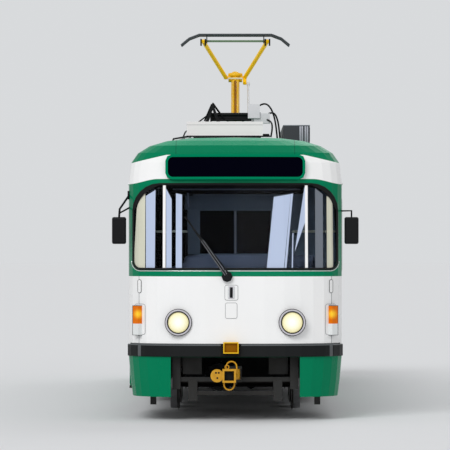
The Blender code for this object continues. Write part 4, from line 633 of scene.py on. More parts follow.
@dataclass(frozen=True)
class TurnLens(Finish):
    """Corner lamp: an amber ribbed lens over a clear one."""

    clear: str = "#cfd2d2"
    bright: str = "#ffcf33"
    split_z: float = 1.120
    centre: tuple[float, float] = (1.125, 1.232)
    reach: float = 0.075

    def paint(self, graph: Graph, base: Socket) -> Socket:
        """Amber above, paler by the bulb, clear below."""
        away = graph.distance(graph.across, graph.z, self.centre)
        bulb = graph.ramp(away, 0.0, self.reach, 0.9, 0.0, "SMOOTHSTEP")
        return graph.blend(graph.under(graph.z, self.split_z),
                           graph.blend(bulb, base, self.bright), self.clear)


@dataclass(frozen=True)
class FloorRubber(Finish):
    """Chassis paint below, and a grey rubber floor on the walked faces."""

    rubber: str = "#5b6064"

    def paint(self, graph: Graph, base: Socket) -> Socket:
        """Rubber where a level face looks up."""
        return graph.blend(graph.over(graph.up, 0.7), base, self.rubber)


@dataclass(frozen=True)
class RolledSteel(Finish):
    """Wheel steel: oxidised discs with a band polished by the rail on the tread."""

    tread: str = "#9b9b9d"
    disc_x: float = 0.712

    def paint(self, graph: Graph, base: Socket) -> Socket:
        """Bright on the round faces outside the discs."""
        band = graph.every(graph.under(graph.sideways, 0.35),
                           graph.over(graph.across, self.disc_x))
        return graph.blend(band, base, self.tread)


@dataclass(frozen=True)
class ArmEnamel(Finish):
    """Upper arm of the pantograph: bright yellow legs and a grey-green cross tube."""

    tube: str = "#647a60"
    tube_half: float = 0.372
    tube_z: float = 4.636

    def paint(self, graph: Graph, base: Socket) -> Socket:
        """Grey-green between the legs' upper ends."""
        zone = graph.every(graph.near(graph.x, 0.0, self.tube_half),
                           graph.over(graph.z, self.tube_z))
        return graph.blend(zone, base, self.tube)


# Two-pack enamel on steel sheet: semi-gloss with faint orange peel and slow shade drift
LIVERY = LiveryEnamel("Livery enamel", "white_enamel", "#efefef", "#e9eaea", roughness=0.30,
                      ior=1.15, grain_mm=14, relief_mm=0.04)
# The same enamel on the door leaves, with panes that read near black
DOOR = DoorEnamel("Door enamel", "white_enamel", "#eeeeee", "#e8e9e9", roughness=0.30, ior=1.15)
# Laminated glass, faintly blue and nearly free of glare, so that the dark cab shows through it
SCREEN = ScreenGlass("Laminated glass", "window_glass", "#cfd6de", "#c8cfd7", roughness=0.03,
                     spread=0.01, ior=1.12, relief_mm=0.0, transmission=1.0)
# The same glass with pale bands of painted reflection, which break up the dark cab
FRONT_SCREEN = FrontScreenGlass("Laminated glass with painted reflections", "window_glass", "#cfd6de",
                                "#c8cfd7", roughness=0.03, spread=0.01, ior=1.12, relief_mm=0.0,
                                transmission=1.0)
# Toughened and tinted side glass, whose tint shows as a cool grey
BELT = BeltGlass("Toughened glass", "window_glass", "#8d989f", "#869198", roughness=0.04,
                 spread=0.015, ior=1.3, relief_mm=0.0, transmission=1.0)
# Smoked acrylic sheet behind the driver, near black from ahead
SMOKED = Finish("Smoked acrylic", "window_glass", "#00000a", "#01010c", roughness=0.3, ior=1.04,
                relief_mm=0.0)
# Enamelled steel housing round a blank black face behind matt glass
SIGN = SignFace("Sign housing enamel", "black_enamel", "#01010b", "#02020e", roughness=0.4,
                ior=1.05)
# Extruded rubber, dull black with a fine skin grain
RUBBER = Finish("Carbon black rubber", "bumper_rubber", "#0e0f10", "#151717", roughness=0.6,
                ior=1.25, grain_mm=3, relief_mm=0.15)
# Bumper rubber, a little greyer, with a painted highlight on its top edge and scuffed joints
BUMPER = BumperRubber("Bumper rubber", "bumper_rubber", "#0f1112", "#151718", roughness=0.55,
                      ior=1.25, grain_mm=4, relief_mm=0.2)
# Rubber painted grey along the bumper's top edge as a highlight
BEAD = Finish("Rubber painted as a highlight", "bumper_rubber", "#5a5d5f", "#505355", roughness=0.6, ior=1.2,
              grain_mm=3, relief_mm=0.1)
# Pressed lamp glass: warm, brightest in its middle
HEADLAMP = RoundLampGlass("Pressed lamp glass", "lamp_glass", "#fffff4", "#fdfceb",
                          roughness=0.2, drift_mm=80, glow=0.09, ior=1.2)
# Red moulded lens under a clear skin, deeper towards its edge
TAIL_LAMP = RoundLampGlass("Red lamp lens", "red_lens", "#8f1016", "#7c0b11", roughness=0.15,
                           centre=(0.90, 1.20), lens=0.0485, ring_edge=0.060,
                           outer="#6d070c", coat=0.5)
# Amber moulded lens that glows by its bulb
TURN_LAMP = TurnLens("Amber lens", "amber_lens", "#cb6100", "#d46c00", roughness=0.25,
                     ior=1.2, drift_mm=60, glow=0.16)
# Sprayed black enamel of mirrors, wiper and roof frames, with a soft sheen
BLACK = Finish("Black enamel", "black_enamel", "#0b0c0e", "#121416", roughness=0.36, ior=1.22)
# Pale grey of the wiper's links, a painted highlight along the arm
LINK_HIGHLIGHT = Finish("Black enamel with a painted highlight", "black_enamel", "#8b8d92", "#6c6e72", drift_mm=40,
              roughness=0.35)
# Bitumen-based chassis paint, dull, with road film
CHASSIS = Finish("Chassis paint", "dark_steel", "#1b1c1f", "#232426", drift_mm=180,
                 roughness=0.55, spread=0.15, ior=1.3, grain_mm=5, relief_mm=0.25)
# The same paint under the floor, browner with dust, and grey rubber on top
FLOOR = FloorRubber("Chassis paint and floor rubber", "dark_steel", "#1d1e1f", "#272623",
                    drift_mm=180, roughness=0.6, spread=0.12, ior=1.35, grain_mm=5,
                    relief_mm=0.25)
# Rolled steel, oxidised to brown-black where nothing rubs it
WHEEL = RolledSteel("Rolled wheel steel", "wheel_steel", "#232221", "#302b27", drift_mm=90,
                    metallic=0.85, roughness=0.42, grain_mm=4, relief_mm=0.1)
# Brush-painted yellow enamel of the current collector
YELLOW = Finish("Yellow enamel", "yellow_enamel", "#eebf16", "#e0ae12", drift_mm=300,
                roughness=0.38, ior=1.3, relief_mm=0.004)
# Upper arm's yellow, a lighter copy with a painted glow that keeps it bright from below
GLOWING_YELLOW = ArmEnamel("Yellow enamel with a painted glow", "yellow_enamel", "#f3c414", "#e8b810",
                          drift_mm=300, roughness=0.38, ior=1.2, relief_mm=0.004, glow=0.22)
# Yellow enamel darkened as painted shade in the arm's channel and the socket's recess
SHADED_AMBER = Finish("Amber enamel painted as shade", "yellow_enamel", "#925e02", "#7e4f01", drift_mm=60,
               roughness=0.45, ior=1.12)
# Yellow enamel of the coupler, worn darker by handling
COUPLER = Finish("Worn yellow enamel", "coupler_enamel", "#d8a416", "#a8730c", drift_mm=45,
                 roughness=0.42, spread=0.12, ior=1.4, grain_mm=4, relief_mm=0.2)
# Dark copper alloy with graphite on the contact strips
COLLECTOR = Finish("Collector strip metal", "collector", "#3a3d40", "#4a4e52", drift_mm=60,
                   metallic=0.5, roughness=0.42, relief_mm=0.01)
# White case enamel of the roof unit, tinted pink to paint out the roof's green reflection
CASE = Finish("White case enamel", "white_enamel", "#f3e8ec", "#eee3e7", roughness=0.35, ior=1.2)
# Light grey enamel of the roof boxes and the coupling rod
GREY = Finish("Light grey enamel", "grey_enamel", "#d2d3d6", "#c6c8cb", roughness=0.38, ior=1.3)
# Sheet steel case of the brake resistors, blued by heat
BANK = Finish("Resistor case steel", "resistor_case", "#26272d", "#303138", drift_mm=120,
              metallic=0.2, roughness=0.5)
# Bright steel of the louvres and lids, clear against the blued case
LOUVRE = Finish("Louvre steel", "resistor_case", "#a3a3ad", "#8f8f98", drift_mm=90,
                metallic=0.3, roughness=0.45)
# Blue-grey laminate of the cab's rear wall
LINING = Finish("Dark laminate", "lining", "#8593a3", "#7f8d9d", roughness=0.5, ior=1.3)
# Moulded plastic of the desk, matt with a leather grain
DESK = Finish("Moulded desk plastic", "lining", "#6a7184", "#62697b", roughness=0.55, ior=1.35,
              grain_mm=2, relief_mm=0.1)
# Hard moulded seat shells, dark blue-grey
SEAT = Finish("Moulded seat shell", "seat_cover", "#393d48", "#40454f", roughness=0.45,
              grain_mm=2, relief_mm=0.08)
# Cream stove enamel of handrails, pale against the dark cab
RAIL = Finish("Cream rail enamel", "lining", "#dcdcc6", "#cfcfb8", roughness=0.35)
# Anodised trim with a soft metal sheen
PALE_TRIM = Finish("Anodised aluminium trim", "lamp_glass", "#d9dcdb", "#cfd3d2",
                   metallic=0.6, roughness=0.3)
# Satin plated rings and latches
LAMP_RING = Finish("Satin lamp ring", "grey_enamel", "#c3c0c6", "#b1afb5", metallic=0.3,
                   roughness=0.4, drift_mm=60)
# White enamel of the bare plates, as even as the panel behind
PLATE = Finish("White plate enamel", "white_enamel", "#ededed", "#e6e7e7", roughness=0.3, ior=1.15)
# Sealer round plates, which draws their edge in grey
OUTLINE = Finish("Grey joint sealer", "grey_enamel", "#8b8d8f", "#818385", roughness=0.6)
# Silvered glass, a clean mirror
SILVER = Finish("Silvered mirror glass", "lamp_glass", "#c8ccce", "#c4c8ca", metallic=1.0,
                roughness=0.03, spread=0.01, relief_mm=0.0)


# Workshop

class Workshop:
    """Turns meshes into pieces that ride on the frame."""

    def __init__(self, frame: dict) -> None:
        """Keeps the frame, with no material mixed.
        """
        self.nodes: dict[str, bpy.types.Object] = frame["nodes"]
        self.record: dict = frame["record"]
        self.mixed: dict[str, bpy.types.Material] = {}

    def mix(self, finish: Finish) -> bpy.types.Material:
        """Gives the one material of a finish, built when it is first asked for."""
        if finish.name not in self.mixed:
            self.mixed[finish.name] = finish.build()
        return self.mixed[finish.name]

    def dress(self, finish: Finish, *nodes: str) -> None:
        """Gives CAD nodes a finish.

        Args:
            finish: The finish that replaces their plain one.
            *nodes: Names of the nodes.
        """
        for name in nodes:
            for slot in self.nodes[name].material_slots:
                slot.material = self.mix(finish)

    def fit(self, name: str, bm: bmesh.types.BMesh, finish: Finish, body: Body | str) -> None:
        """Makes a piece from a finished mesh.

        Args:
            name: The piece's name.
            bm: Its mesh in the frame's coordinates, which is freed.
            finish: Its finish.
            body: The body it rides on.
        """
        bmesh.ops.remove_doubles(bm, verts=bm.verts, dist=0.01 * MM)
        bmesh.ops.recalc_face_normals(bm, faces=bm.faces)
        mesh = bpy.data.meshes.new(name)
        bm.to_mesh(mesh)
        bm.free()
        mesh.materials.append(self.mix(finish))
        mesh.shade_smooth()
        mesh.set_sharp_from_angle(angle=math.radians(SHARP_DEGREES))
        piece = bpy.data.objects.new(name, mesh)
        bpy.context.scene.collection.objects.link(piece)
        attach(piece, body.value if isinstance(body, Body) else body)
        LOG.info("%s: %d faces", name, len(mesh.polygons))

    def touch(self, name: str, start: Point, towards: Point) -> Vector | None:
        """Point where a ray meets a node.

        Args:
            name: The node.
            start: Where the ray starts.
            towards: Its direction.

        Returns:
            The point, or None where it meets nothing.
        """
        hit, where, _, _ = self.nodes[name].ray_cast(Vector(start), Vector(towards))
        return where if hit else None

    def skin(self, x: float, z: float, end: End) -> Vector:
        """Point of an end's skin at a place of its elevation.

        Args:
            x: Across the car.
            z: Height.
            end: Which end.

        Returns:
            The point where a ray from ahead meets the shell, or its glazing.
        """
        for name in ("_end", "_glazing"):
            where = self.touch(end.name.lower() + name, (x, end.value * FAR, z),
                               (0, -end.value, 0))
            if where:
                return where
        return Vector((x, end.value * STRAIGHT_Y, z))

    def add_plate(self, bm: bmesh.types.BMesh, outline: list[tuple[float, float]], end: End,
                  proud: float) -> None:
        """Adds a thin plate that lies on an end's skin.

        Args:
            bm: Mesh to add to.
            outline: Its outline as x and z.
            end: The end that it lies on.
            proud: How far its face stands off the skin.
        """
        sheet = bmesh.new()
        sheet.faces.new([sheet.verts.new((x, 0.0, z)) for x, z in outline])
        across = [x for x, _ in outline]
        for share in (0.25, 0.5, 0.75):
            cut = min(across) + (max(across) - min(across)) * share
            bmesh.ops.bisect_plane(sheet, geom=sheet.verts[:] + sheet.edges[:] + sheet.faces[:],
                                   plane_co=(cut, 0, 0), plane_no=(1, 0, 0))
        for vert in sheet.verts:
            vert.co.y = self.skin(vert.co.x, vert.co.z, end).y + end.value * proud
        thicken(sheet, -end.value * (proud + 4 * MM))
        join(bm, sheet)

    def blocks(self, name: str, finish: Finish, body: Body | str,
               *boxes: tuple[Point, Point, float]) -> None:
        """Makes a piece of rounded boxes.

        Args:
            name: The piece's name.
            finish: Its finish.
            body: The body it rides on.
            *boxes: Lowest corner, highest corner and edge radius of each box.
        """
        bm = bmesh.new()
        for low, high, bevel in boxes:
            add_block(bm, low, high, bevel)
        self.fit(name, bm, finish, body)

    def route(self, name: str, places: list[Vector], behind: float) -> list[Vector]:
        """Route over a node's front face.

        Args:
            name: The node.
            places: Points whose x and z it follows.
            behind: How far it lies behind the face.

        Returns:
            Its points.
        """
        found = [self.touch(name, (place.x, -FAR, place.z), (0, 1, 0)) for place in places]
        return [where + Vector((0, behind, 0)) for where in found if where]

    def joint_place(self, name: str) -> Vector:
        """Point on a joint's axis, from the record."""
        joint = next(j for j in self.record["behaviour"]["joints"] if j["name"] == name)
        return Vector(joint["pos_m"])


def add_block(bm: bmesh.types.BMesh, low: Point, high: Point, bevel: float = 0.0,
              segments: int = 2) -> None:
    """Adds a box with rounded edges.

    Args:
        bm: Mesh to add to.
        low: Lowest corner.
        high: Highest corner.
        bevel: Radius of the edges.
        segments: Steps of the rounding.
    """
    lowest, highest = Vector(low), Vector(high)
    place = Matrix.Translation((lowest + highest) / 2) @ Matrix.Diagonal(
        (*(highest - lowest), 1))
    verts = bmesh.ops.create_cube(bm, size=1, matrix=place)["verts"]
    if bevel:
        edges = list({edge for vert in verts for edge in vert.link_edges})
        bmesh.ops.bevel(bm, geom=edges, offset=bevel, segments=segments, profile=0.5,
                        affect="EDGES", material=-1)


def add_bar(bm: bmesh.types.BMesh, start: Point, end: Point, radius: float,
            sides: int = 16) -> None:
    """Adds a round bar between two points.

    Args:
        bm: Mesh to add to.
        start: Centre of the first end.
        end: Centre of the second end.
        radius: Its radius.
        sides: Faces round it.
    """
    axis = Vector(end) - Vector(start)
    turn = axis.to_track_quat("Z", "Y").to_matrix().to_4x4()
    bmesh.ops.create_cone(bm, cap_ends=True, segments=sides, radius1=radius, radius2=radius,
                          depth=axis.length,
                          matrix=Matrix.Translation(Vector(start) + axis / 2) @ turn)


def add_tube(bm: bmesh.types.BMesh, points: list[Vector], radius: float, closed: bool = False,
             smooth: bool = False, sides: int = 2) -> None:
    """Adds a bent round tube.

    Args:
        bm: Mesh to add to.
        points: Its route.
        radius: Its radius.
        closed: Whether it comes back to its start.
        smooth: Whether it curves through its points.
        sides: Bevel resolution of the section.
    """
    curve = bpy.data.curves.new("route", "CURVE")
    curve.dimensions = "3D"
    curve.bevel_depth = radius
    curve.bevel_resolution = sides
    curve.use_fill_caps = not closed
    spline = curve.splines.new("NURBS" if smooth else "POLY")
    spline.points.add(len(points) - 1)
    for point, place in zip(spline.points, points):
        point.co = (*place, 1)
    spline.use_cyclic_u = closed
    if smooth:
        spline.order_u = 3
        spline.use_endpoint_u = not closed
        curve.resolution_u = 6
    guide = bpy.data.objects.new("route", curve)
    bpy.context.scene.collection.objects.link(guide)
    mesh = bpy.data.meshes.new_from_object(
        guide.evaluated_get(bpy.context.evaluated_depsgraph_get()))
    shape = bmesh.new()
    shape.from_mesh(mesh)
    bmesh.ops.remove_doubles(shape, verts=shape.verts, dist=0.01 * MM)
    join(bm, shape)
    bpy.data.objects.remove(guide)
    bpy.data.curves.remove(curve)
    bpy.data.meshes.remove(mesh)


def join(bm: bmesh.types.BMesh, other: bmesh.types.BMesh) -> None:
    """Adds a mesh to another and frees it.

    Args:
        bm: Mesh to add to.
        other: Mesh that is added.
    """
    mesh = bpy.data.meshes.new("part")
    other.to_mesh(mesh)
    other.free()
    bm.from_mesh(mesh)
    bpy.data.meshes.remove(mesh)


def thicken(sheet: bmesh.types.BMesh, depth: float) -> None:
    """Grows a sheet along y into a plate.

    Args:
        sheet: The sheet.
        depth: How far its new face lies from the first one.
    """
    grown = bmesh.ops.extrude_face_region(sheet, geom=sheet.faces[:])["geom"]
    bmesh.ops.translate(sheet, vec=(0, depth, 0),
                        verts=[item for item in grown if isinstance(item, bmesh.types.BMVert)])


def rounded(low_u: float, high_u: float, low_v: float, high_v: float, lower: float,
            upper: float) -> list[tuple[float, float]]:
    """Outline of a rectangle with rounded corners.

    Args:
        low_u: Lowest first coordinate.
        high_u: Highest first coordinate.
        low_v: Lowest second coordinate.
        high_v: Highest second coordinate.
        lower: Radius of the lower corners.
        upper: Radius of the upper corners.

    Returns:
        Points round the outline.
    """
    corners = ((high_u - lower, low_v + lower, lower, -90),
               (high_u - upper, high_v - upper, upper, 0),
               (low_u + upper, high_v - upper, upper, 90),
               (low_u + lower, low_v + lower, lower, 180))
    return [(u + radius * math.cos(math.radians(start + 90 * step / CORNER_STEPS)),
             v + radius * math.sin(math.radians(start + 90 * step / CORNER_STEPS)))
            for u, v, radius, start in corners for step in range(CORNER_STEPS + 1)]


def circle(count: int, radius: float) -> list[tuple[float, float]]:
    """Points spread evenly round a circle.

    Args:
        count: How many.
        radius: Its radius.

    Returns:
        Their two coordinates.
    """
    return [(radius * math.cos(math.tau * n / count), radius * math.sin(math.tau * n / count))
            for n in range(count)]


def add_turned(bm: bmesh.types.BMesh, centre: Point, axis: Point,
               profile: list[tuple[float, float]], steps: int = 40) -> None:
    """Adds a turned solid or ring.

    Args:
        bm: Mesh to add to.
        centre: Where its axis starts.
        axis: Its axis.
        profile: Closed outline of its section, as radius and place along the axis.
        steps: Faces round it.
    """
    along = Vector(axis).normalized()
    side = along.orthogonal().normalized()
    start = Vector(centre)
    verts = [bm.verts.new(start + side * radius + along * rise) for radius, rise in profile]
    edges = [bm.edges.new(pair) for pair in zip(verts, verts[1:] + verts[:1])]
    bmesh.ops.spin(bm, geom=verts + edges, cent=start, axis=along, angle=math.tau, steps=steps,
                   use_merge=True)


# Sub-assemblies

@dataclass
class CarBody:
    """Shell of the car with its glazing rubbers and outside trim."""

    shop: Workshop
    screen_half: float = 1.18
    screen_low: float = 1.76
    screen_high: float = 2.73
    screen_corner: float = 0.08
    screen_shoulder: float = 0.30
    rubber_radius: float = 0.014
    lip_steps: int = 16
    lip_depth: float = 0.036
    lip_proud: float = 0.016
    lip_thickness: float = 0.028
    window_low: float = 1.72
    window_high: float = 2.58
    window_half: float = 0.58
    window_corner: float = 0.09
    vent_z: float = 2.33
    bay: float = 2.725
    bay_pitch: float = 1.32
    door_pitch: float = 5.45
    bogie_y: float = 3.2
    bogie_reach: float = 1.45
    latch_z: float = 0.66
    button_y: float = -0.72
    button_z: float = 1.28

    def build(self) -> None:
        """Dresses the shell and adds its fittings."""
        self.shop.dress(LIVERY, "front_end", "rear_end", "side_wall_left", "side_wall_right",
                        "roof_shell")
        self.shop.dress(FRONT_SCREEN, "front_glazing")
        self.shop.dress(SCREEN, "rear_glazing")
        self.shop.dress(BELT, "window_belt_left", "window_belt_right_front",
                        "window_belt_right_rear")
        self.shop.dress(SIGN, "destination_box")
        self.shop.dress(BUMPER, "front_bumper", "rear_bumper")
        self.shop.dress(FLOOR, "underframe")
        for end in End:
            self.screen_rubber(end)
        self.side_glazing()
        self.side_trim()
        self.door_buttons()

    def outline(self, end: End, margin: float) -> list[Vector]:
        """Windscreen opening on the skin, grown by a margin.

        Args:
            end: Which end.
            margin: How far it lies outside the opening.

        Returns:
            Points round it, about 60 mm apart.
        """
        half = self.screen_half + margin
        flat = rounded(-half, half, self.screen_low - margin, self.screen_high + margin,
                       self.screen_corner + margin, self.screen_shoulder + margin)
        dense: list[tuple[float, float]] = []
        for (x, z), (next_x, next_z) in zip(flat, flat[1:] + flat[:1]):
            count = max(1, round(math.hypot(next_x - x, next_z - z) / 0.06))
            dense += [(x + (next_x - x) * n / count, z + (next_z - z) * n / count)
                      for n in range(count)]
        return [self.shop.skin(x, z, end) for x, z in dense]

    def screen_rubber(self, end: End) -> None:
        """Rubber profile round a windscreen, with the bright strip under it."""
        bm, strip = bmesh.new(), bmesh.new()
        add_tube(bm, self.outline(end, 0.006), self.rubber_radius, closed=True)
        self.shoulders(bm, end)
        self.shop.fit(f"{end.name.lower()}_screen_rubber", bm, RUBBER, Body.CAR)
        low = [place for place in self.outline(end, 0.028) if place.z < self.screen_low + 0.10]
        start = max(range(len(low)), key=lambda n: (low[n] - low[n - 1]).length)
        add_tube(strip, low[start:] + low[:start], 0.006)
        self.shop.fit(f"{end.name.lower()}_screen_strip", strip, PALE_TRIM, Body.CAR)

    def shoulders(self, bm: bmesh.types.BMesh, end: End) -> None:
        """Broad lips of the rubber in the windscreen's two upper corners.

        Args:
            bm: Mesh to add to.
            end: Which end.
        """
        lips = bmesh.new()
        out = Vector((0, end.value * self.lip_proud, 0))
        for sign in (-1, 1):
            rows = []
            for step in range(self.lip_steps + 1):
                turn = math.pi / 2 * step / self.lip_steps
                depth = self.lip_depth * max(math.sin(2 * turn), 0.0) ** 0.5
                row = []
                for radius in (self.screen_shoulder + 0.010, self.screen_shoulder - 0.002 - depth):
                    x = sign * (self.screen_half - self.screen_shoulder + radius * math.cos(turn))
                    z = self.screen_high - self.screen_shoulder + radius * math.sin(turn)
                    row.append(lips.verts.new(self.shop.skin(x, z, end) + out))
                rows.append(row)
            for first, second in zip(rows, rows[1:]):
                lips.faces.new((*first, *reversed(second)))
        thicken(lips, -end.value * self.lip_thickness)
        join(bm, lips)

    def bays(self) -> list[float]:
        """Centres of the windows that both sides have."""
        return [side * self.bay + step * self.bay_pitch for side in (-1, 1) for step in (-1, 0, 1)]

    def side_glazing(self) -> None:
        """Rubber profiles round the side panes, with the bars of their sliding top lights."""
        left = sorted(self.bays() + [-self.door_pitch, 0.0, self.door_pitch])
        for name, sign, centres in (("left", 1, left), ("right", -1, self.bays())):
            rubber, bars = bmesh.new(), bmesh.new()
            inner, outer = sorted((sign * 1.2365, sign * 1.2455))
            for centre in centres:
                start, end = centre - self.window_half, centre + self.window_half
                flat = rounded(start, end, self.window_low, self.window_high, self.window_corner,
                               self.window_corner)
                add_tube(rubber, [Vector((sign * 1.247, y, z)) for y, z in flat], 0.012,
                         closed=True)
                add_block(bars, (inner, start, self.vent_z - 0.011),
                          (outer, end, self.vent_z + 0.011), 0.003)
                add_block(bars, (inner, centre - 0.010, self.vent_z + 0.012),
                          (outer, centre + 0.010, self.window_high), 0.003)
            self.shop.fit(f"window_rubbers_{name}", rubber, RUBBER, Body.CAR)
            self.shop.fit(f"window_bars_{name}", bars, PALE_TRIM, Body.CAR)

    def side_trim(self) -> None:
        """Belt strips over the panel joints and the latches of the skirt flaps."""
        for name, sign, spans in (("left", 1, ((-6.10, 6.10),)),
                                  ("right", -1, ((-4.72, -0.74), (0.74, 4.72)))):
            strip, latches = bmesh.new(), bmesh.new()
            inner, outer = sorted((sign * (HALF_WIDTH - 0.002), sign * (HALF_WIDTH + 0.007)))
            for low, high in spans:
                add_block(strip, (inner, low, WAIST_HIGH - 0.009),
                          (outer, high, WAIST_HIGH + 0.009), 0.003)
            for y in (bay + shift for bay in self.bays() for shift in (-0.56, 0.56)):
                if abs(abs(y) - self.bogie_y) > self.bogie_reach:
                    add_bar(latches, (sign * 1.235, y, self.latch_z),
                            (sign * (HALF_WIDTH + 0.002), y, self.latch_z), 0.016, 20)
            self.shop.fit(f"belt_strip_{name}", strip, PALE_TRIM, Body.CAR)
            self.shop.fit(f"skirt_latches_{name}", latches, LAMP_RING, Body.CAR)

    def door_buttons(self) -> None:
        """Outside push buttons ahead of the middle and rear doorways."""
        for name, finish, profile in (
                ("door_button_bezels", LAMP_RING,
                 [(0.020, 0.0), (0.034, 0.0), (0.034, 0.006), (0.028, 0.010), (0.020, 0.010)]),
                ("door_button_caps", TAIL_LAMP,
                 [(0.0, 0.0), (0.019, 0.0), (0.019, 0.007), (0.012, 0.0095), (0.0, 0.010)])):
            bm = bmesh.new()
            for y in (self.button_y, self.door_pitch + self.button_y):
                add_turned(bm, (-HALF_WIDTH + 0.001, y, self.button_z), (-1, 0, 0), profile)
            self.shop.fit(name, bm, finish, Body.CAR)


@dataclass
class FrontFittings:
    """Lamps, plates, mirrors, wiper and socket of the front."""

    shop: Workshop
    lamp_z: float = 1.139
    joint: float = 0.005
    capsule_x: float = 1.112
    mirror_x: float = 1.352
    mirror_back_y: float = -6.525
    link_foot: Point = (-0.108, 0.0, 1.690)
    link_tip: Point = (-0.385, 0.0, 2.085)
    bead_z: float = 0.886
    bead_radius: float = 0.009
    bead_end_x: float = 1.215
    pad_low_x: float = -0.168
    pad_high_x: float = 0.068
    # Low x, high x, low z, high z and corner radius of the plates
    lamp_plates: tuple = ((-1.170, -1.046, 0.996, 1.345, 0.025),
                          (1.046, 1.170, 0.996, 1.345, 0.025))
    middle_plates: tuple = ((-0.118, 0.028, 1.398, 1.566, 0.020),
                            (-0.112, 0.018, 1.188, 1.362, 0.018))

    def build(self) -> None:
        """Dresses the small nodes of both ends and adds what is fixed to the panels."""
        self.shop.dress(HEADLAMP, "headlamp_left", "headlamp_right")
        self.shop.dress(TAIL_LAMP, "tail_lamp_left", "tail_lamp_right")
        self.shop.dress(TURN_LAMP, "indicator_left", "indicator_right")
        self.shop.dress(BLACK, "mirror_left", "mirror_right", "wiper")
        self.shop.dress(YELLOW, "socket_box")
        self.headlamp_rings()
        self.plates()
        self.latch()
        self.mirror_glass()
        self.socket_shade_plate()
        self.indicator_frames()
        self.wiper_links()
        self.mirror_stay()
        self.bumper_bead()

    def bumper_bead(self) -> None:
        """Bead along the bumper's top, grey as a painted highlight, black over the middle pad."""
        steps = 24
        for name, first, last, finish in (
                ("bumper_bead_right", -self.bead_end_x, self.pad_low_x, BEAD),
                ("bumper_bead_left", self.pad_high_x, self.bead_end_x, BEAD),
                ("bumper_bead_middle", self.pad_low_x, self.pad_high_x, RUBBER)):
            points = [self.shop.skin(first + (last - first) * step / steps, self.bead_z, End.FRONT)
                      + Vector((0, -0.004, 0)) for step in range(steps + 1)]
            bm = bmesh.new()
            add_tube(bm, points, self.bead_radius)
            self.shop.fit(name, bm, finish, Body.CAR)

    def mirror_stay(self) -> None:
        """Upper stay of the mirror on the door side, with its clamp on the corner."""
        foot = self.shop.touch("front_end", (-3.0, -6.34, 2.63), (1, 0, 0))
        if not foot:
            return
        bm = bmesh.new()
        add_tube(bm, [foot + Vector((0.008, 0, 0)), Vector((-1.345, -6.56, 2.45)),
                      Vector((-self.mirror_x, -6.56, 2.352))], 0.0125, sides=3)
        add_block(bm, (foot.x - 0.022, -6.362, 2.565), (foot.x + 0.010, -6.318, 2.665), 0.006)
        self.shop.fit("mirror_stay", bm, BLACK, Body.CAR)

    def wiper_links(self) -> None:
        """Two thin parallel links over the wiper arm, pale as a painted highlight."""
        foot, tip = Vector(self.link_foot), Vector(self.link_tip)
        side = Vector((tip.z - foot.z, 0.0, foot.x - tip.x)).normalized()
        bm = bmesh.new()
        for shift in (-0.012, 0.013):
            places = [foot.lerp(tip, step / 8) + side * shift for step in range(9)]
            add_tube(bm, self.shop.route("wiper", places, -0.003), 0.0030)
        self.shop.fit("wiper_links", bm, LINK_HIGHLIGHT, Body.CAR)

    def indicator_frames(self) -> None:
        """Dark frame behind each corner lamp, a little larger than its lenses."""
        bm = bmesh.new()
        for name in ("indicator_left", "indicator_right"):
            lens = bmesh.new()
            lens.from_mesh(self.shop.nodes[name].data)
            bmesh.ops.remove_doubles(lens, verts=lens.verts, dist=0.01 * MM)
            low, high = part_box(name)
            centre = (low + high) / 2
            grow = Matrix.Translation(centre + Vector((0, 0.007, 0))) @ Matrix.Diagonal(
                (1.10, 1.06, 1.03, 1)) @ Matrix.Translation(-centre)
            bmesh.ops.transform(lens, matrix=grow, verts=lens.verts)
            join(bm, lens)
        self.shop.fit("indicator_frames", bm, BLACK, Body.CAR)

    def headlamp_rings(self) -> None:
        """Domed glass of each headlamp in a satin ring between two black ones."""
        dome = [(0.0, 0.0), (0.1180, 0.0), (0.1180, 0.004), (0.095, 0.0085), (0.065, 0.0115),
                (0.030, 0.013), (0.0, 0.0135)]
        ring = [(0.130, 0.0), (0.150, 0.0), (0.150, 0.013), (0.147, 0.016), (0.133, 0.016),
                (0.130, 0.013)]
        gaskets = [[(inner, 0.0), (outer, 0.0), (outer, lift), (inner, lift)]
                   for inner, outer, lift in ((0.1185, 0.1295, 0.016), (0.1505, 0.157, 0.010))]
        for piece, finish, profiles in (("lenses", HEADLAMP, [dome]), ("rings", LAMP_RING, [ring]),
                                        ("gaskets", RUBBER, gaskets)):
            bm = bmesh.new()
            for name in ("headlamp_left", "headlamp_right"):
                low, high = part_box(name)
                for profile in profiles:
                    add_turned(bm, ((low.x + high.x) / 2, low.y + 0.004, self.lamp_z),
                               (0, -1, 0), profile, 64)
            self.shop.fit(f"headlamp_{piece}", bm, finish, Body.CAR)

    def plates(self) -> None:
        """Bare plates, lift handles and lamp plates, each on its joint of sealer."""
        capsules = [(side * self.capsule_x - 0.018, side * self.capsule_x + 0.018, 1.480, 1.628,
                     0.0175) for side in (-1, 1)]
        groups = (("lift_handles", End.FRONT, capsules, 0.014, RUBBER),
                  ("rear_lift_handles", End.REAR, capsules, 0.014, RUBBER),
                  ("lamp_plates", End.FRONT, self.lamp_plates, 0.006, OUTLINE),
                  ("front_plates", End.FRONT, self.middle_plates, 0.006, OUTLINE))
        for name, end, boxes, proud, edge in groups:
            faces, edges = bmesh.new(), bmesh.new()
            for low_x, high_x, low_z, high_z, corner in boxes:
                self.shop.add_plate(faces, rounded(low_x, high_x, low_z, high_z, corner, corner),
                                    end, proud)
                grown = corner + self.joint
                self.shop.add_plate(edges, rounded(low_x - self.joint, high_x + self.joint,
                                                   low_z - self.joint, high_z + self.joint,
                                                   grown, grown), end, proud / 2)
            self.shop.fit(name, faces, PLATE, Body.CAR)
            self.shop.fit(f"{name}_joints", edges, edge, Body.CAR)

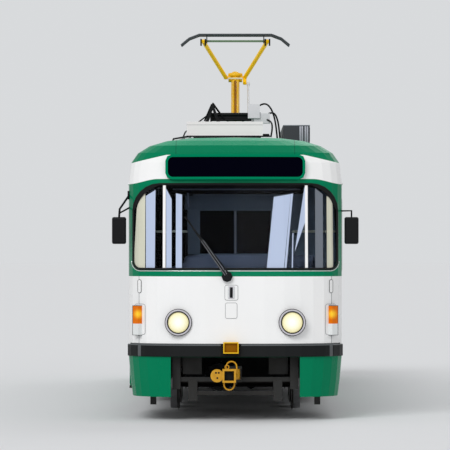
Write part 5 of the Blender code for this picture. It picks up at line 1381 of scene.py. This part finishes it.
    def latch(self) -> None:
        """Recessed grip of the front flap, a dark slot between two satin cheeks."""
        slot, cheeks = bmesh.new(), bmesh.new()
        self.shop.add_plate(slot, rounded(-0.086, -0.005, 1.412, 1.556, 0.012, 0.012), End.FRONT,
                            0.008)
        for x in (-0.078, -0.016):
            self.shop.add_plate(cheeks, rounded(x - 0.006, x + 0.006, 1.420, 1.548, 0.004, 0.004),
                                End.FRONT, 0.012)
        front = self.shop.skin(-0.046, 1.484, End.FRONT).y
        self.shop.fit("latch_slot", slot, LAMP_RING, Body.CAR)
        self.shop.fit("latch_cheeks", cheeks, PALE_TRIM, Body.CAR)
        self.shop.blocks("latch_grip", BLACK, Body.CAR, ((-0.062, front - 0.020, 1.424),
                                                         (-0.030, front - 0.006, 1.544), 0.006))

    def mirror_glass(self) -> None:
        """Silvered glass in the back of each mirror."""
        for name, x in (("left", self.mirror_x), ("right", -self.mirror_x)):
            self.shop.blocks(f"mirror_glass_{name}", SILVER, Body.CAR,
                             ((x - 0.070, self.mirror_back_y + 0.0004, 2.056),
                              (x + 0.070, self.mirror_back_y + 0.0024, 2.344), 0.0008))

    def socket_shade_plate(self) -> None:
        """Plate inside the open coupling socket, coloured as painted shade in its recess."""
        low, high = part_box("socket_box")
        depth = low.y + (high.y - low.y) * 0.35
        self.shop.blocks("socket_shade_plate", SHADED_AMBER, Body.CAR,
                         ((low.x + 0.011, depth, low.z + 0.011),
                          (high.x - 0.011, depth + 0.012, high.z - 0.011), 0.003))


@dataclass
class Doors:
    """The three folding doors."""

    shop: Workshop
    strip: float = 0.022
    face_x: float = -1.2425

    def build(self) -> None:
        """Dresses the twelve leaves and adds rubbers on the inner ones' closing edges."""
        for doorway in ("front", "middle", "rear"):
            for post, inward in (("front", 1), ("rear", -1)):
                pair = f"door_{doorway}_{post}"
                self.shop.dress(DOOR, f"{pair}_outer", f"{pair}_inner")
                low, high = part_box(f"{pair}_inner")
                edge = high.y if inward > 0 else low.y
                near, far = sorted((edge - inward * 0.001, edge - inward * self.strip))
                self.shop.blocks(f"{pair}_inner_rubber", RUBBER, f"{pair}_inner",
                                 ((self.face_x - 0.006, near, low.z + 0.03),
                                  (self.face_x - 0.0003, far, high.z - 0.02), 0.0025))


@dataclass
class RunningGear:
    """Bogies, wheels and couplers."""

    shop: Workshop
    axle_z: float = 0.35
    axles: tuple[float, ...] = (-4.15, -2.25, 2.25, 4.15)
    bolt_circle: float = 0.085
    bolt_count: int = 9
    bolt_radius: float = 0.013
    bolt_height: float = 0.012
    ring_radius: float = 0.022

    def build(self) -> None:
        """Dresses what is below the floor."""
        self.shop.dress(CHASSIS, "bogie_frame_front", "bogie_frame_rear")
        self.shop.dress(WHEEL, "wheelset_1", "wheelset_2", "wheelset_3", "wheelset_4")
        self.shop.dress(COUPLER, "coupler_front", "coupler_rear")
        self.wheel_bolts()
        self.coupler_detail()

    def wheel_bolts(self) -> None:
        """Ring of hexagon heads on each wheel's hub."""
        for number, y in enumerate(self.axles, 1):
            low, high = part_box(f"wheelset_{number}")
            bm = bmesh.new()
            for sign, face in ((-1, low.x), (1, high.x)):
                seat = face - sign * 0.004
                for along, rise in circle(self.bolt_count, self.bolt_circle):
                    add_bar(bm, (seat, y + along, self.axle_z + rise),
                            (seat + sign * self.bolt_height, y + along, self.axle_z + rise),
                            self.bolt_radius, 6)
            self.shop.fit(f"wheel_bolts_{number}", bm, CHASSIS, f"wheels_{number}")

    def coupler_detail(self) -> None:
        """Drum-face holes, painted shade in the block's mouth and the release ring over it."""
        holes, ring = bmesh.new(), bmesh.new()
        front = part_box("coupler_front")[0].y
        for x, z in ((-0.222, 0.565), (-0.190, 0.565), (-0.206, 0.505)):
            face = self.shop.touch("coupler_front", (x, -FAR, z), (0, 1, 0))
            if face:
                add_turned(holes, (x, face.y + 0.003, z), (0, -1, 0),
                           [(0.0, 0.0), (0.011, 0.0), (0.011, 0.0045), (0.0, 0.0045)], 20)
        self.shop.fit("coupler_holes", holes, RUBBER, Body.COUPLER_FRONT)
        # Black plate as painted shade inside the block's mouth
        self.shop.blocks("coupler_mouth_shade", RUBBER, Body.COUPLER_FRONT,
                         ((-0.124, front + 0.074, 0.476), (-0.016, front + 0.0797, 0.584), 0.002))
        add_tube(ring, [Vector((-0.095 + across, front + 0.06, 0.628 + rise))
                        for across, rise in circle(24, self.ring_radius)], 0.006, closed=True)
        self.shop.fit("coupler_ring", ring, COUPLER, Body.COUPLER_FRONT)


@dataclass
class RoofGear:
    """Pantograph and electrical equipment on the roof."""

    shop: Workshop
    # Bends of the conduits and of the left edge rails
    pipe_routes: tuple = (
        ((0.30, -2.86, 3.80), (0.36, -2.84, 3.84), (0.44, -2.84, 3.80), (0.50, -2.84, 3.66),
         (0.53, -2.84, 3.44), (0.55, -2.84, 3.20)),
        ((0.42, -2.90, 3.70), (0.47, -2.90, 3.72), (0.52, -2.90, 3.68), (0.56, -2.90, 3.52),
         (0.58, -2.90, 3.19)),
        ((0.40, -3.02, 3.62), (0.46, -3.05, 3.60), (0.47, -3.06, 3.50), (0.44, -3.06, 3.36),
         (0.46, -3.06, 3.22)))
    rail_routes: tuple = (
        ((-0.96, -4.5, 3.20), (-0.86, -4.5, 3.27), (-0.62, -4.5, 3.33), (-0.60, -4.5, 3.24)),
        ((-0.80, -4.2, 3.24), (-0.76, -4.2, 3.34), (-0.58, -4.2, 3.37), (-0.50, -3.9, 3.36),
         (-0.50, -3.7, 3.26)))
    # First end, last end and radius of each stay
    stay_bars: tuple = (((-0.289, -2.50, 3.850), (-0.139, -2.47, 3.640), 0.013),
                        ((-0.300, -2.50, 3.838), (-0.395, -2.50, 3.620), 0.011),
                        ((-0.350, -2.50, 3.700), (-0.480, -2.50, 3.600), 0.009),
                        ((-0.480, -2.50, 3.600), (-0.640, -2.50, 3.480), 0.009),
                        ((-0.640, -2.50, 3.480), (-0.700, -2.50, 3.340), 0.009))
    shaft_y: float = -2.46
    shaft_half: float = 0.30
    knuckle_drop: float = 0.018
    knuckle_half: float = 0.100
    case_pitch: float = 1.02
    case_length: float = 0.923
    louvre_pitch: float = 0.0615

    def build(self) -> None:
        """Dresses the roof's nodes and adds what clamps, stays and wires them."""
        self.shop.dress(BLACK, "pantograph_base", "roof_duct")
        self.shop.dress(YELLOW, "pantograph_lower_arm")
        self.shop.dress(GLOWING_YELLOW, "pantograph_upper_arm")
        self.shop.dress(GREY, "pantograph_rod", "roof_boxes")
        self.shop.dress(COLLECTOR, "pantograph_head")
        self.shop.dress(CASE, "roof_unit")
        self.shop.dress(BANK, "resistor_bank")
        self.louvres()
        self.conduits()
        self.knuckle()
        self.unit_trim()
        self.cross_shafts()
        self.mast_channel()
        self.stays()

    def mast_channel(self) -> None:
        """Open channel of the lower arm: a web in painted shade between two bright flanges."""
        knee = self.shop.joint_place("pantograph_knuckle")
        foot = self.shop.joint_place("pantograph_raise")
        for name, finish, radius, shifts in (("mast_web", SHADED_AMBER, 0.016, (0.0,)),
                                             ("mast_flanges", YELLOW, 0.009, (-0.030, 0.030))):
            bm = bmesh.new()
            for shift in shifts:
                places = [foot.lerp(knee, 0.10 + 0.80 * step / 8) + Vector((shift, 0, 0))
                          for step in range(9)]
                add_tube(bm, self.shop.route("pantograph_lower_arm", places, radius * 0.3),
                         radius)
            self.shop.fit(name, bm, finish, Body.LOWER_ARM)

    def stays(self) -> None:
        """Inclined stays and links beside the base frame's left cheek."""
        bm = bmesh.new()
        for start, end, radius in self.stay_bars:
            add_bar(bm, start, end, radius, 12)
        self.shop.fit("base_stays", bm, BLACK, Body.CAR)

    def cross_shafts(self) -> None:
        """Two spring shafts across the base frame, with a web plate, between their cheeks."""
        bm = bmesh.new()
        y, half = self.shaft_y, self.shaft_half
        for z, radius in ((3.705, 0.024), (3.640, 0.020)):
            add_bar(bm, (-half, y, z), (half, y, z), radius, 20)
        for x in (-half - 0.010, half + 0.010):
            add_block(bm, (x - 0.012, y - 0.040, 3.42), (x + 0.012, y + 0.040, 3.735), 0.005)
        add_block(bm, (-half, y - 0.006, 3.64), (half, y + 0.006, 3.705))
        self.shop.fit("spring_shafts", bm, BLACK, Body.CAR)

    def louvres(self) -> None:
        """Upright louvres on the front and outer sides of the resistor cases, and their lids."""
        low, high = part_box("resistor_bank")
        bm, lids = bmesh.new(), bmesh.new()
        for x in (0.812, 0.838, 0.876, 0.902):
            add_block(bm, (x - 0.011, low.y - 0.005, low.z + 0.03),
                      (x + 0.009, low.y + 0.004, high.z - 0.012), 0.002)
        for first in (low.y + case * self.case_pitch for case in range(4)):
            for y in (first + 0.06 + n * self.louvre_pitch for n in range(14)):
                add_block(bm, (high.x - 0.004, y - 0.012, high.z - 0.20),
                          (high.x + 0.004, y + 0.012, high.z - 0.03), 0.002)
            add_block(lids, (low.x - 0.003, first - 0.003, high.z - 0.006),
                      (high.x + 0.003, first + self.case_length, high.z + 0.004), 0.003)
        self.shop.fit("resistor_louvres", bm, LOUVRE, Body.CAR)
        self.shop.fit("resistor_lids", lids, LOUVRE, Body.CAR)

    def conduits(self) -> None:
        """Bent conduits from the switch boxes down to the roof, and the left edge rails."""
        for name, routes, radius, smooth in (("roof_conduits", self.pipe_routes, 0.011, True),
                                             ("roof_edge_rails", self.rail_routes, 0.012, False)):
            bm = bmesh.new()
            for route in routes:
                add_tube(bm, [Vector(place) for place in route], radius, smooth=smooth)
            self.shop.fit(name, bm, BLACK, Body.CAR)

    def knuckle(self) -> None:
        """Domed ring and cross bar at the arms' knuckle, and the clamps under the bow."""
        knee = self.shop.joint_place("pantograph_knuckle")
        dome, cross = bmesh.new(), bmesh.new()
        add_turned(dome, (0, knee.y, knee.z + 0.012), (0, 0, 1),
                   [(0.070, 0.012), (0.088, 0.0), (0.098, 0.018), (0.092, 0.040), (0.074, 0.050),
                    (0.062, 0.038)], 48)
        add_turned(dome, (0, knee.y, knee.z + 0.040), (0, 0, 1),
                   [(0.0, 0.0), (0.060, 0.0), (0.052, 0.024), (0.030, 0.038), (0.0, 0.043)], 48)
        self.shop.fit("knuckle_dome", dome, YELLOW, Body.LOWER_ARM)
        level = knee.z - self.knuckle_drop
        face = self.shop.touch("pantograph_lower_arm", (0, -FAR, level), (0, 1, 0))
        ahead = face.y - 0.007 if face else knee.y - 0.052
        add_bar(cross, (-self.knuckle_half, ahead, level), (self.knuckle_half, ahead, level), 0.011)
        self.shop.fit("knuckle_bar", cross, RAIL, Body.LOWER_ARM)
        head = self.shop.joint_place("pantograph_head_tilt")
        self.shop.blocks("bow_clamps", BLACK, Body.HEAD, *(
            ((x - 0.010, head.y - 0.022, head.z - 0.060),
             (x + 0.010, head.y + 0.022, head.z + 0.030), 0.004)
            for x in (-0.385, -0.440, 0.385, 0.440)))

    def unit_trim(self) -> None:
        """Painted shadow gap at the roof unit's foot, and the unit's feet and lid seam."""
        low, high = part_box("roof_unit")
        # Black strip as painted shadow along the unit's foot
        self.shop.blocks("unit_shadow_strip", BLACK, Body.CAR,
                         ((low.x - 0.002, low.y - 0.004, low.z),
                          (high.x + 0.002, low.y + 0.01, 3.384), 0.002))
        self.shop.blocks("unit_feet", GREY, Body.CAR, *(
            ((x - 0.07, low.y - 0.012, 3.285), (x + 0.07, low.y + 0.10, 3.366), 0.008)
            for x in (-0.585, 0.385)))
        self.shop.blocks("unit_seam", OUTLINE, Body.CAR,
                         ((low.x - 0.0015, low.y - 0.0015, high.z - 0.042),
                          (high.x + 0.0015, high.y + 0.0015, high.z - 0.038), 0.0008))


@dataclass
class Interior:
    """Cab and saloon seen through the glass."""

    shop: Workshop
    partition_y: float = -5.62
    rail_y: float = -6.22
    rail_z: float = 2.19
    rail_bend: float = 0.04
    box_y: float = -6.32
    floor_z: float = 0.899
    pole_x: float = 0.42
    ceiling_z: float = 3.1

    def build(self) -> None:
        """Dresses the inner nodes and adds panes, cowl, header and rails."""
        self.shop.dress(LINING, "cab_partition")
        self.shop.dress(DESK, "driver_desk")
        self.shop.dress(SEAT, "driver_seat", "seats_left", "seats_right_front",
                        "seats_right_rear")
        self.smoked_panes()
        self.cowl()
        self.header()
        self.rails()
        self.poles()

    def smoked_panes(self) -> None:
        """Dark sheets behind the partition's openings, with their rim and centre bar ahead."""
        low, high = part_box("cab_partition")
        self.shop.blocks("partition_panes", SMOKED, Body.CAR,
                         ((low.x + 0.05, high.y - 0.0006, 1.50),
                          (high.x - 0.05, high.y + 0.0048, 2.70), 0.001),
                         ((-1.19, -4.745, 1.05), (-0.46, -4.739, 2.64), 0.002))
        self.shop.blocks("partition_rim", LINING, Body.CAR, *(
            ((x0, low.y - 0.004, z0), (x1, low.y - 0.0004, z1), 0.001)
            for x0, x1, z0, z1 in ((-0.60, 0.62, 2.455, 2.62), (-0.57, -0.43, 1.92, 2.455),
                                   (0.43, 0.62, 1.92, 2.455))))
        self.shop.blocks("partition_bar", LAMP_RING, Body.CAR,
                         ((-0.006, low.y - 0.010, 1.93), (0.006, low.y - 0.0005, 2.44), 0.002))

    def cowl(self) -> None:
        """Moulded cowl over the instruments, wider to the driver's right."""
        bm = bmesh.new()
        add_block(bm, (-0.60, -6.60, 1.735), (0.94, -6.42, 1.915), 0.075, 6)
        self.shop.fit("desk_cowl", bm, DESK, Body.CAR)

    def header(self) -> None:
        """Blind box over the windscreen, on two hangers, with its thin rail."""
        box = bmesh.new()
        add_block(box, (-0.80, -6.40, 2.625), (0.80, -6.25, 2.78), 0.04, 4)
        for x in (-0.5, 0.5):
            top = self.shop.touch("front_end", (x, self.box_y, 2.80), (0, 0, 1))
            if top:
                add_bar(box, (x, self.box_y, 2.77), (x, self.box_y, top.z + 0.002), 0.012)
        self.shop.fit("blind_box", box, SMOKED, Body.CAR)
        self.shop.blocks("blind_rail", DESK, Body.CAR,
                         ((-0.73, -6.412, 2.672), (0.76, -6.399, 2.690), 0.003),
                         ((-0.566, -6.412, 2.475), (-0.543, -6.350, 2.640), 0.003))

    def rails(self) -> None:
        """Cream handrails across the cab's corners, the left one on a black stanchion."""
        bm, post = bmesh.new(), bmesh.new()
        back = self.partition_y - 0.014
        for sign, inner in ((-1, 0.58), (1, 0.68)):
            wall = self.shop.touch("front_end", (0, self.rail_y, self.rail_z), (sign, 0, 0))
            outer = wall.x + sign * 0.002 if wall else sign * 1.20
            route = ((outer, self.rail_y), (sign * (inner + self.rail_bend), self.rail_y),
                     (sign * inner, self.rail_y + self.rail_bend), (sign * inner, back))
            add_tube(bm, [Vector((x, y, self.rail_z)) for x, y in route], 0.014)
        add_bar(post, (-0.58, back, self.floor_z), (-0.58, back, self.rail_z + 0.012), 0.016)
        self.shop.fit("cab_rails", bm, RAIL, Body.CAR)
        self.shop.fit("cab_stanchion", post, BLACK, Body.CAR)

    def poles(self) -> None:
        """Grab poles in the saloon, from the floor to the ceiling."""
        bm = bmesh.new()
        for x in (-self.pole_x, self.pole_x):
            for y in (-4.45, -0.95, 0.95, 4.45):
                top = self.shop.touch("roof_shell", (x, y, 2.2), (0, 0, 1))
                height = (top.z if top else self.ceiling_z) + 0.003
                add_bar(bm, (x, y, self.floor_z), (x, y, height), 0.017)
        self.shop.fit("grab_poles", bm, YELLOW, Body.CAR)


@dataclass
class Studio:
    """Pale floor, soft light and the camera straight ahead of the car."""

    floor_colour: str = "#dcdee0"
    sky_colour: str = "#f9f8f8"
    floor_light: float = 0.962
    world_light: float = 0.575
    distance: float = 40.0
    eye: float = 2.0
    scale: float = 86.9
    frame: float = 450.0
    centre_px: float = 235.3
    horizon_px: float = 247.7
    # Name, direction, strength and width in degrees of each lamp
    suns: tuple = (("key", (-0.35, -0.75, 0.60), 1.52, 30),
                   ("fill", (0.25, -1.0, 0.10), 0.42, 40),
                   ("back", (0.35, 0.75, 0.60), 0.60, 40))

    def build(self) -> None:
        """Makes the floor, the lights and the camera."""
        self.floor()
        self.world()
        self.lamps()
        self.camera()

    def floor(self) -> None:
        """Level pale floor under the wheels."""
        bm = bmesh.new()
        bmesh.ops.create_grid(bm, x_segments=8, y_segments=8, size=400)
        mesh = bpy.data.meshes.new("floor")
        bm.to_mesh(mesh)
        bm.free()
        material = bpy.data.materials.new("Pale studio floor")
        material.use_nodes = True
        feed(material.node_tree.nodes["Principled BSDF"], {
            "Base Color": linear(self.floor_colour), "Roughness": 1.0, "Specular IOR Level": 0.0})
        mesh.materials.append(material)
        floor = bpy.data.objects.new("floor", mesh)
        bpy.context.scene.collection.objects.link(floor)

    def world(self) -> None:
        """Even sky that lights the car, seen as a backdrop of the floor's tone."""
        world = bpy.data.worlds.new("studio")
        bpy.context.scene.world = world
        world.use_nodes = True
        tree = world.node_tree
        tree.nodes.clear()
        seen, lit = (add_node(tree, "ShaderNodeBackground", {0: linear(colour), 1: strength})
                     for colour, strength in ((self.floor_colour, self.floor_light),
                                              (self.sky_colour, self.world_light)))
        path = add_node(tree, "ShaderNodeLightPath").node.outputs
        direct: Socket | float = 0.0
        for ray in ("Is Camera Ray", "Is Glossy Ray", "Is Transmission Ray"):
            direct = add_node(tree, "ShaderNodeMath", {0: direct, 1: path[ray]},
                              operation="MAXIMUM")
        surface = add_node(tree, "ShaderNodeMixShader", {0: direct, 1: lit, 2: seen})
        feed(tree.nodes.new("ShaderNodeOutputWorld"), {0: surface})

    def lamps(self) -> None:
        """Broad key, fill and back light, each as wide as a soft box seen from the car."""
        for name, towards, strength, spread in self.suns:
            lamp = bpy.data.lights.new(name, "SUN")
            lamp.energy = strength
            lamp.angle = math.radians(spread)
            holder = bpy.data.objects.new(name, lamp)
            holder.rotation_euler = Vector(towards).to_track_quat("Z", "Y").to_euler()
            bpy.context.scene.collection.objects.link(holder)
        bpy.context.scene.view_settings.view_transform = "Standard"

    def camera(self) -> None:
        """Long lens straight ahead, shifted as the picture frames the car."""
        data = bpy.data.cameras.new("camera")
        data.sensor_width = 36.0
        data.lens = self.scale * self.distance / self.frame * data.sensor_width
        data.shift_x = (self.frame / 2 - self.centre_px) / self.frame
        data.shift_y = (self.horizon_px - self.frame / 2) / self.frame
        data.clip_end = 1000.0
        camera = bpy.data.objects.new("camera", data)
        camera.location = (0.0, -7.0 - self.distance, self.eye)
        camera.rotation_euler = (math.pi / 2, 0.0, 0.0)
        bpy.context.scene.collection.objects.link(camera)
        bpy.context.scene.camera = camera


def main() -> None:
    """Dresses the whole tram."""
    logging.basicConfig(level=logging.INFO, format="%(message)s")
    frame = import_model()
    shop = Workshop(frame)
    for assembly in (CarBody(shop), FrontFittings(shop), Doors(shop), RunningGear(shop),
                     RoofGear(shop), Interior(shop), Studio()):
        assembly.build()
        LOG.info("%s is dressed", type(assembly).__name__)


if __name__ == "__main__":
    main()
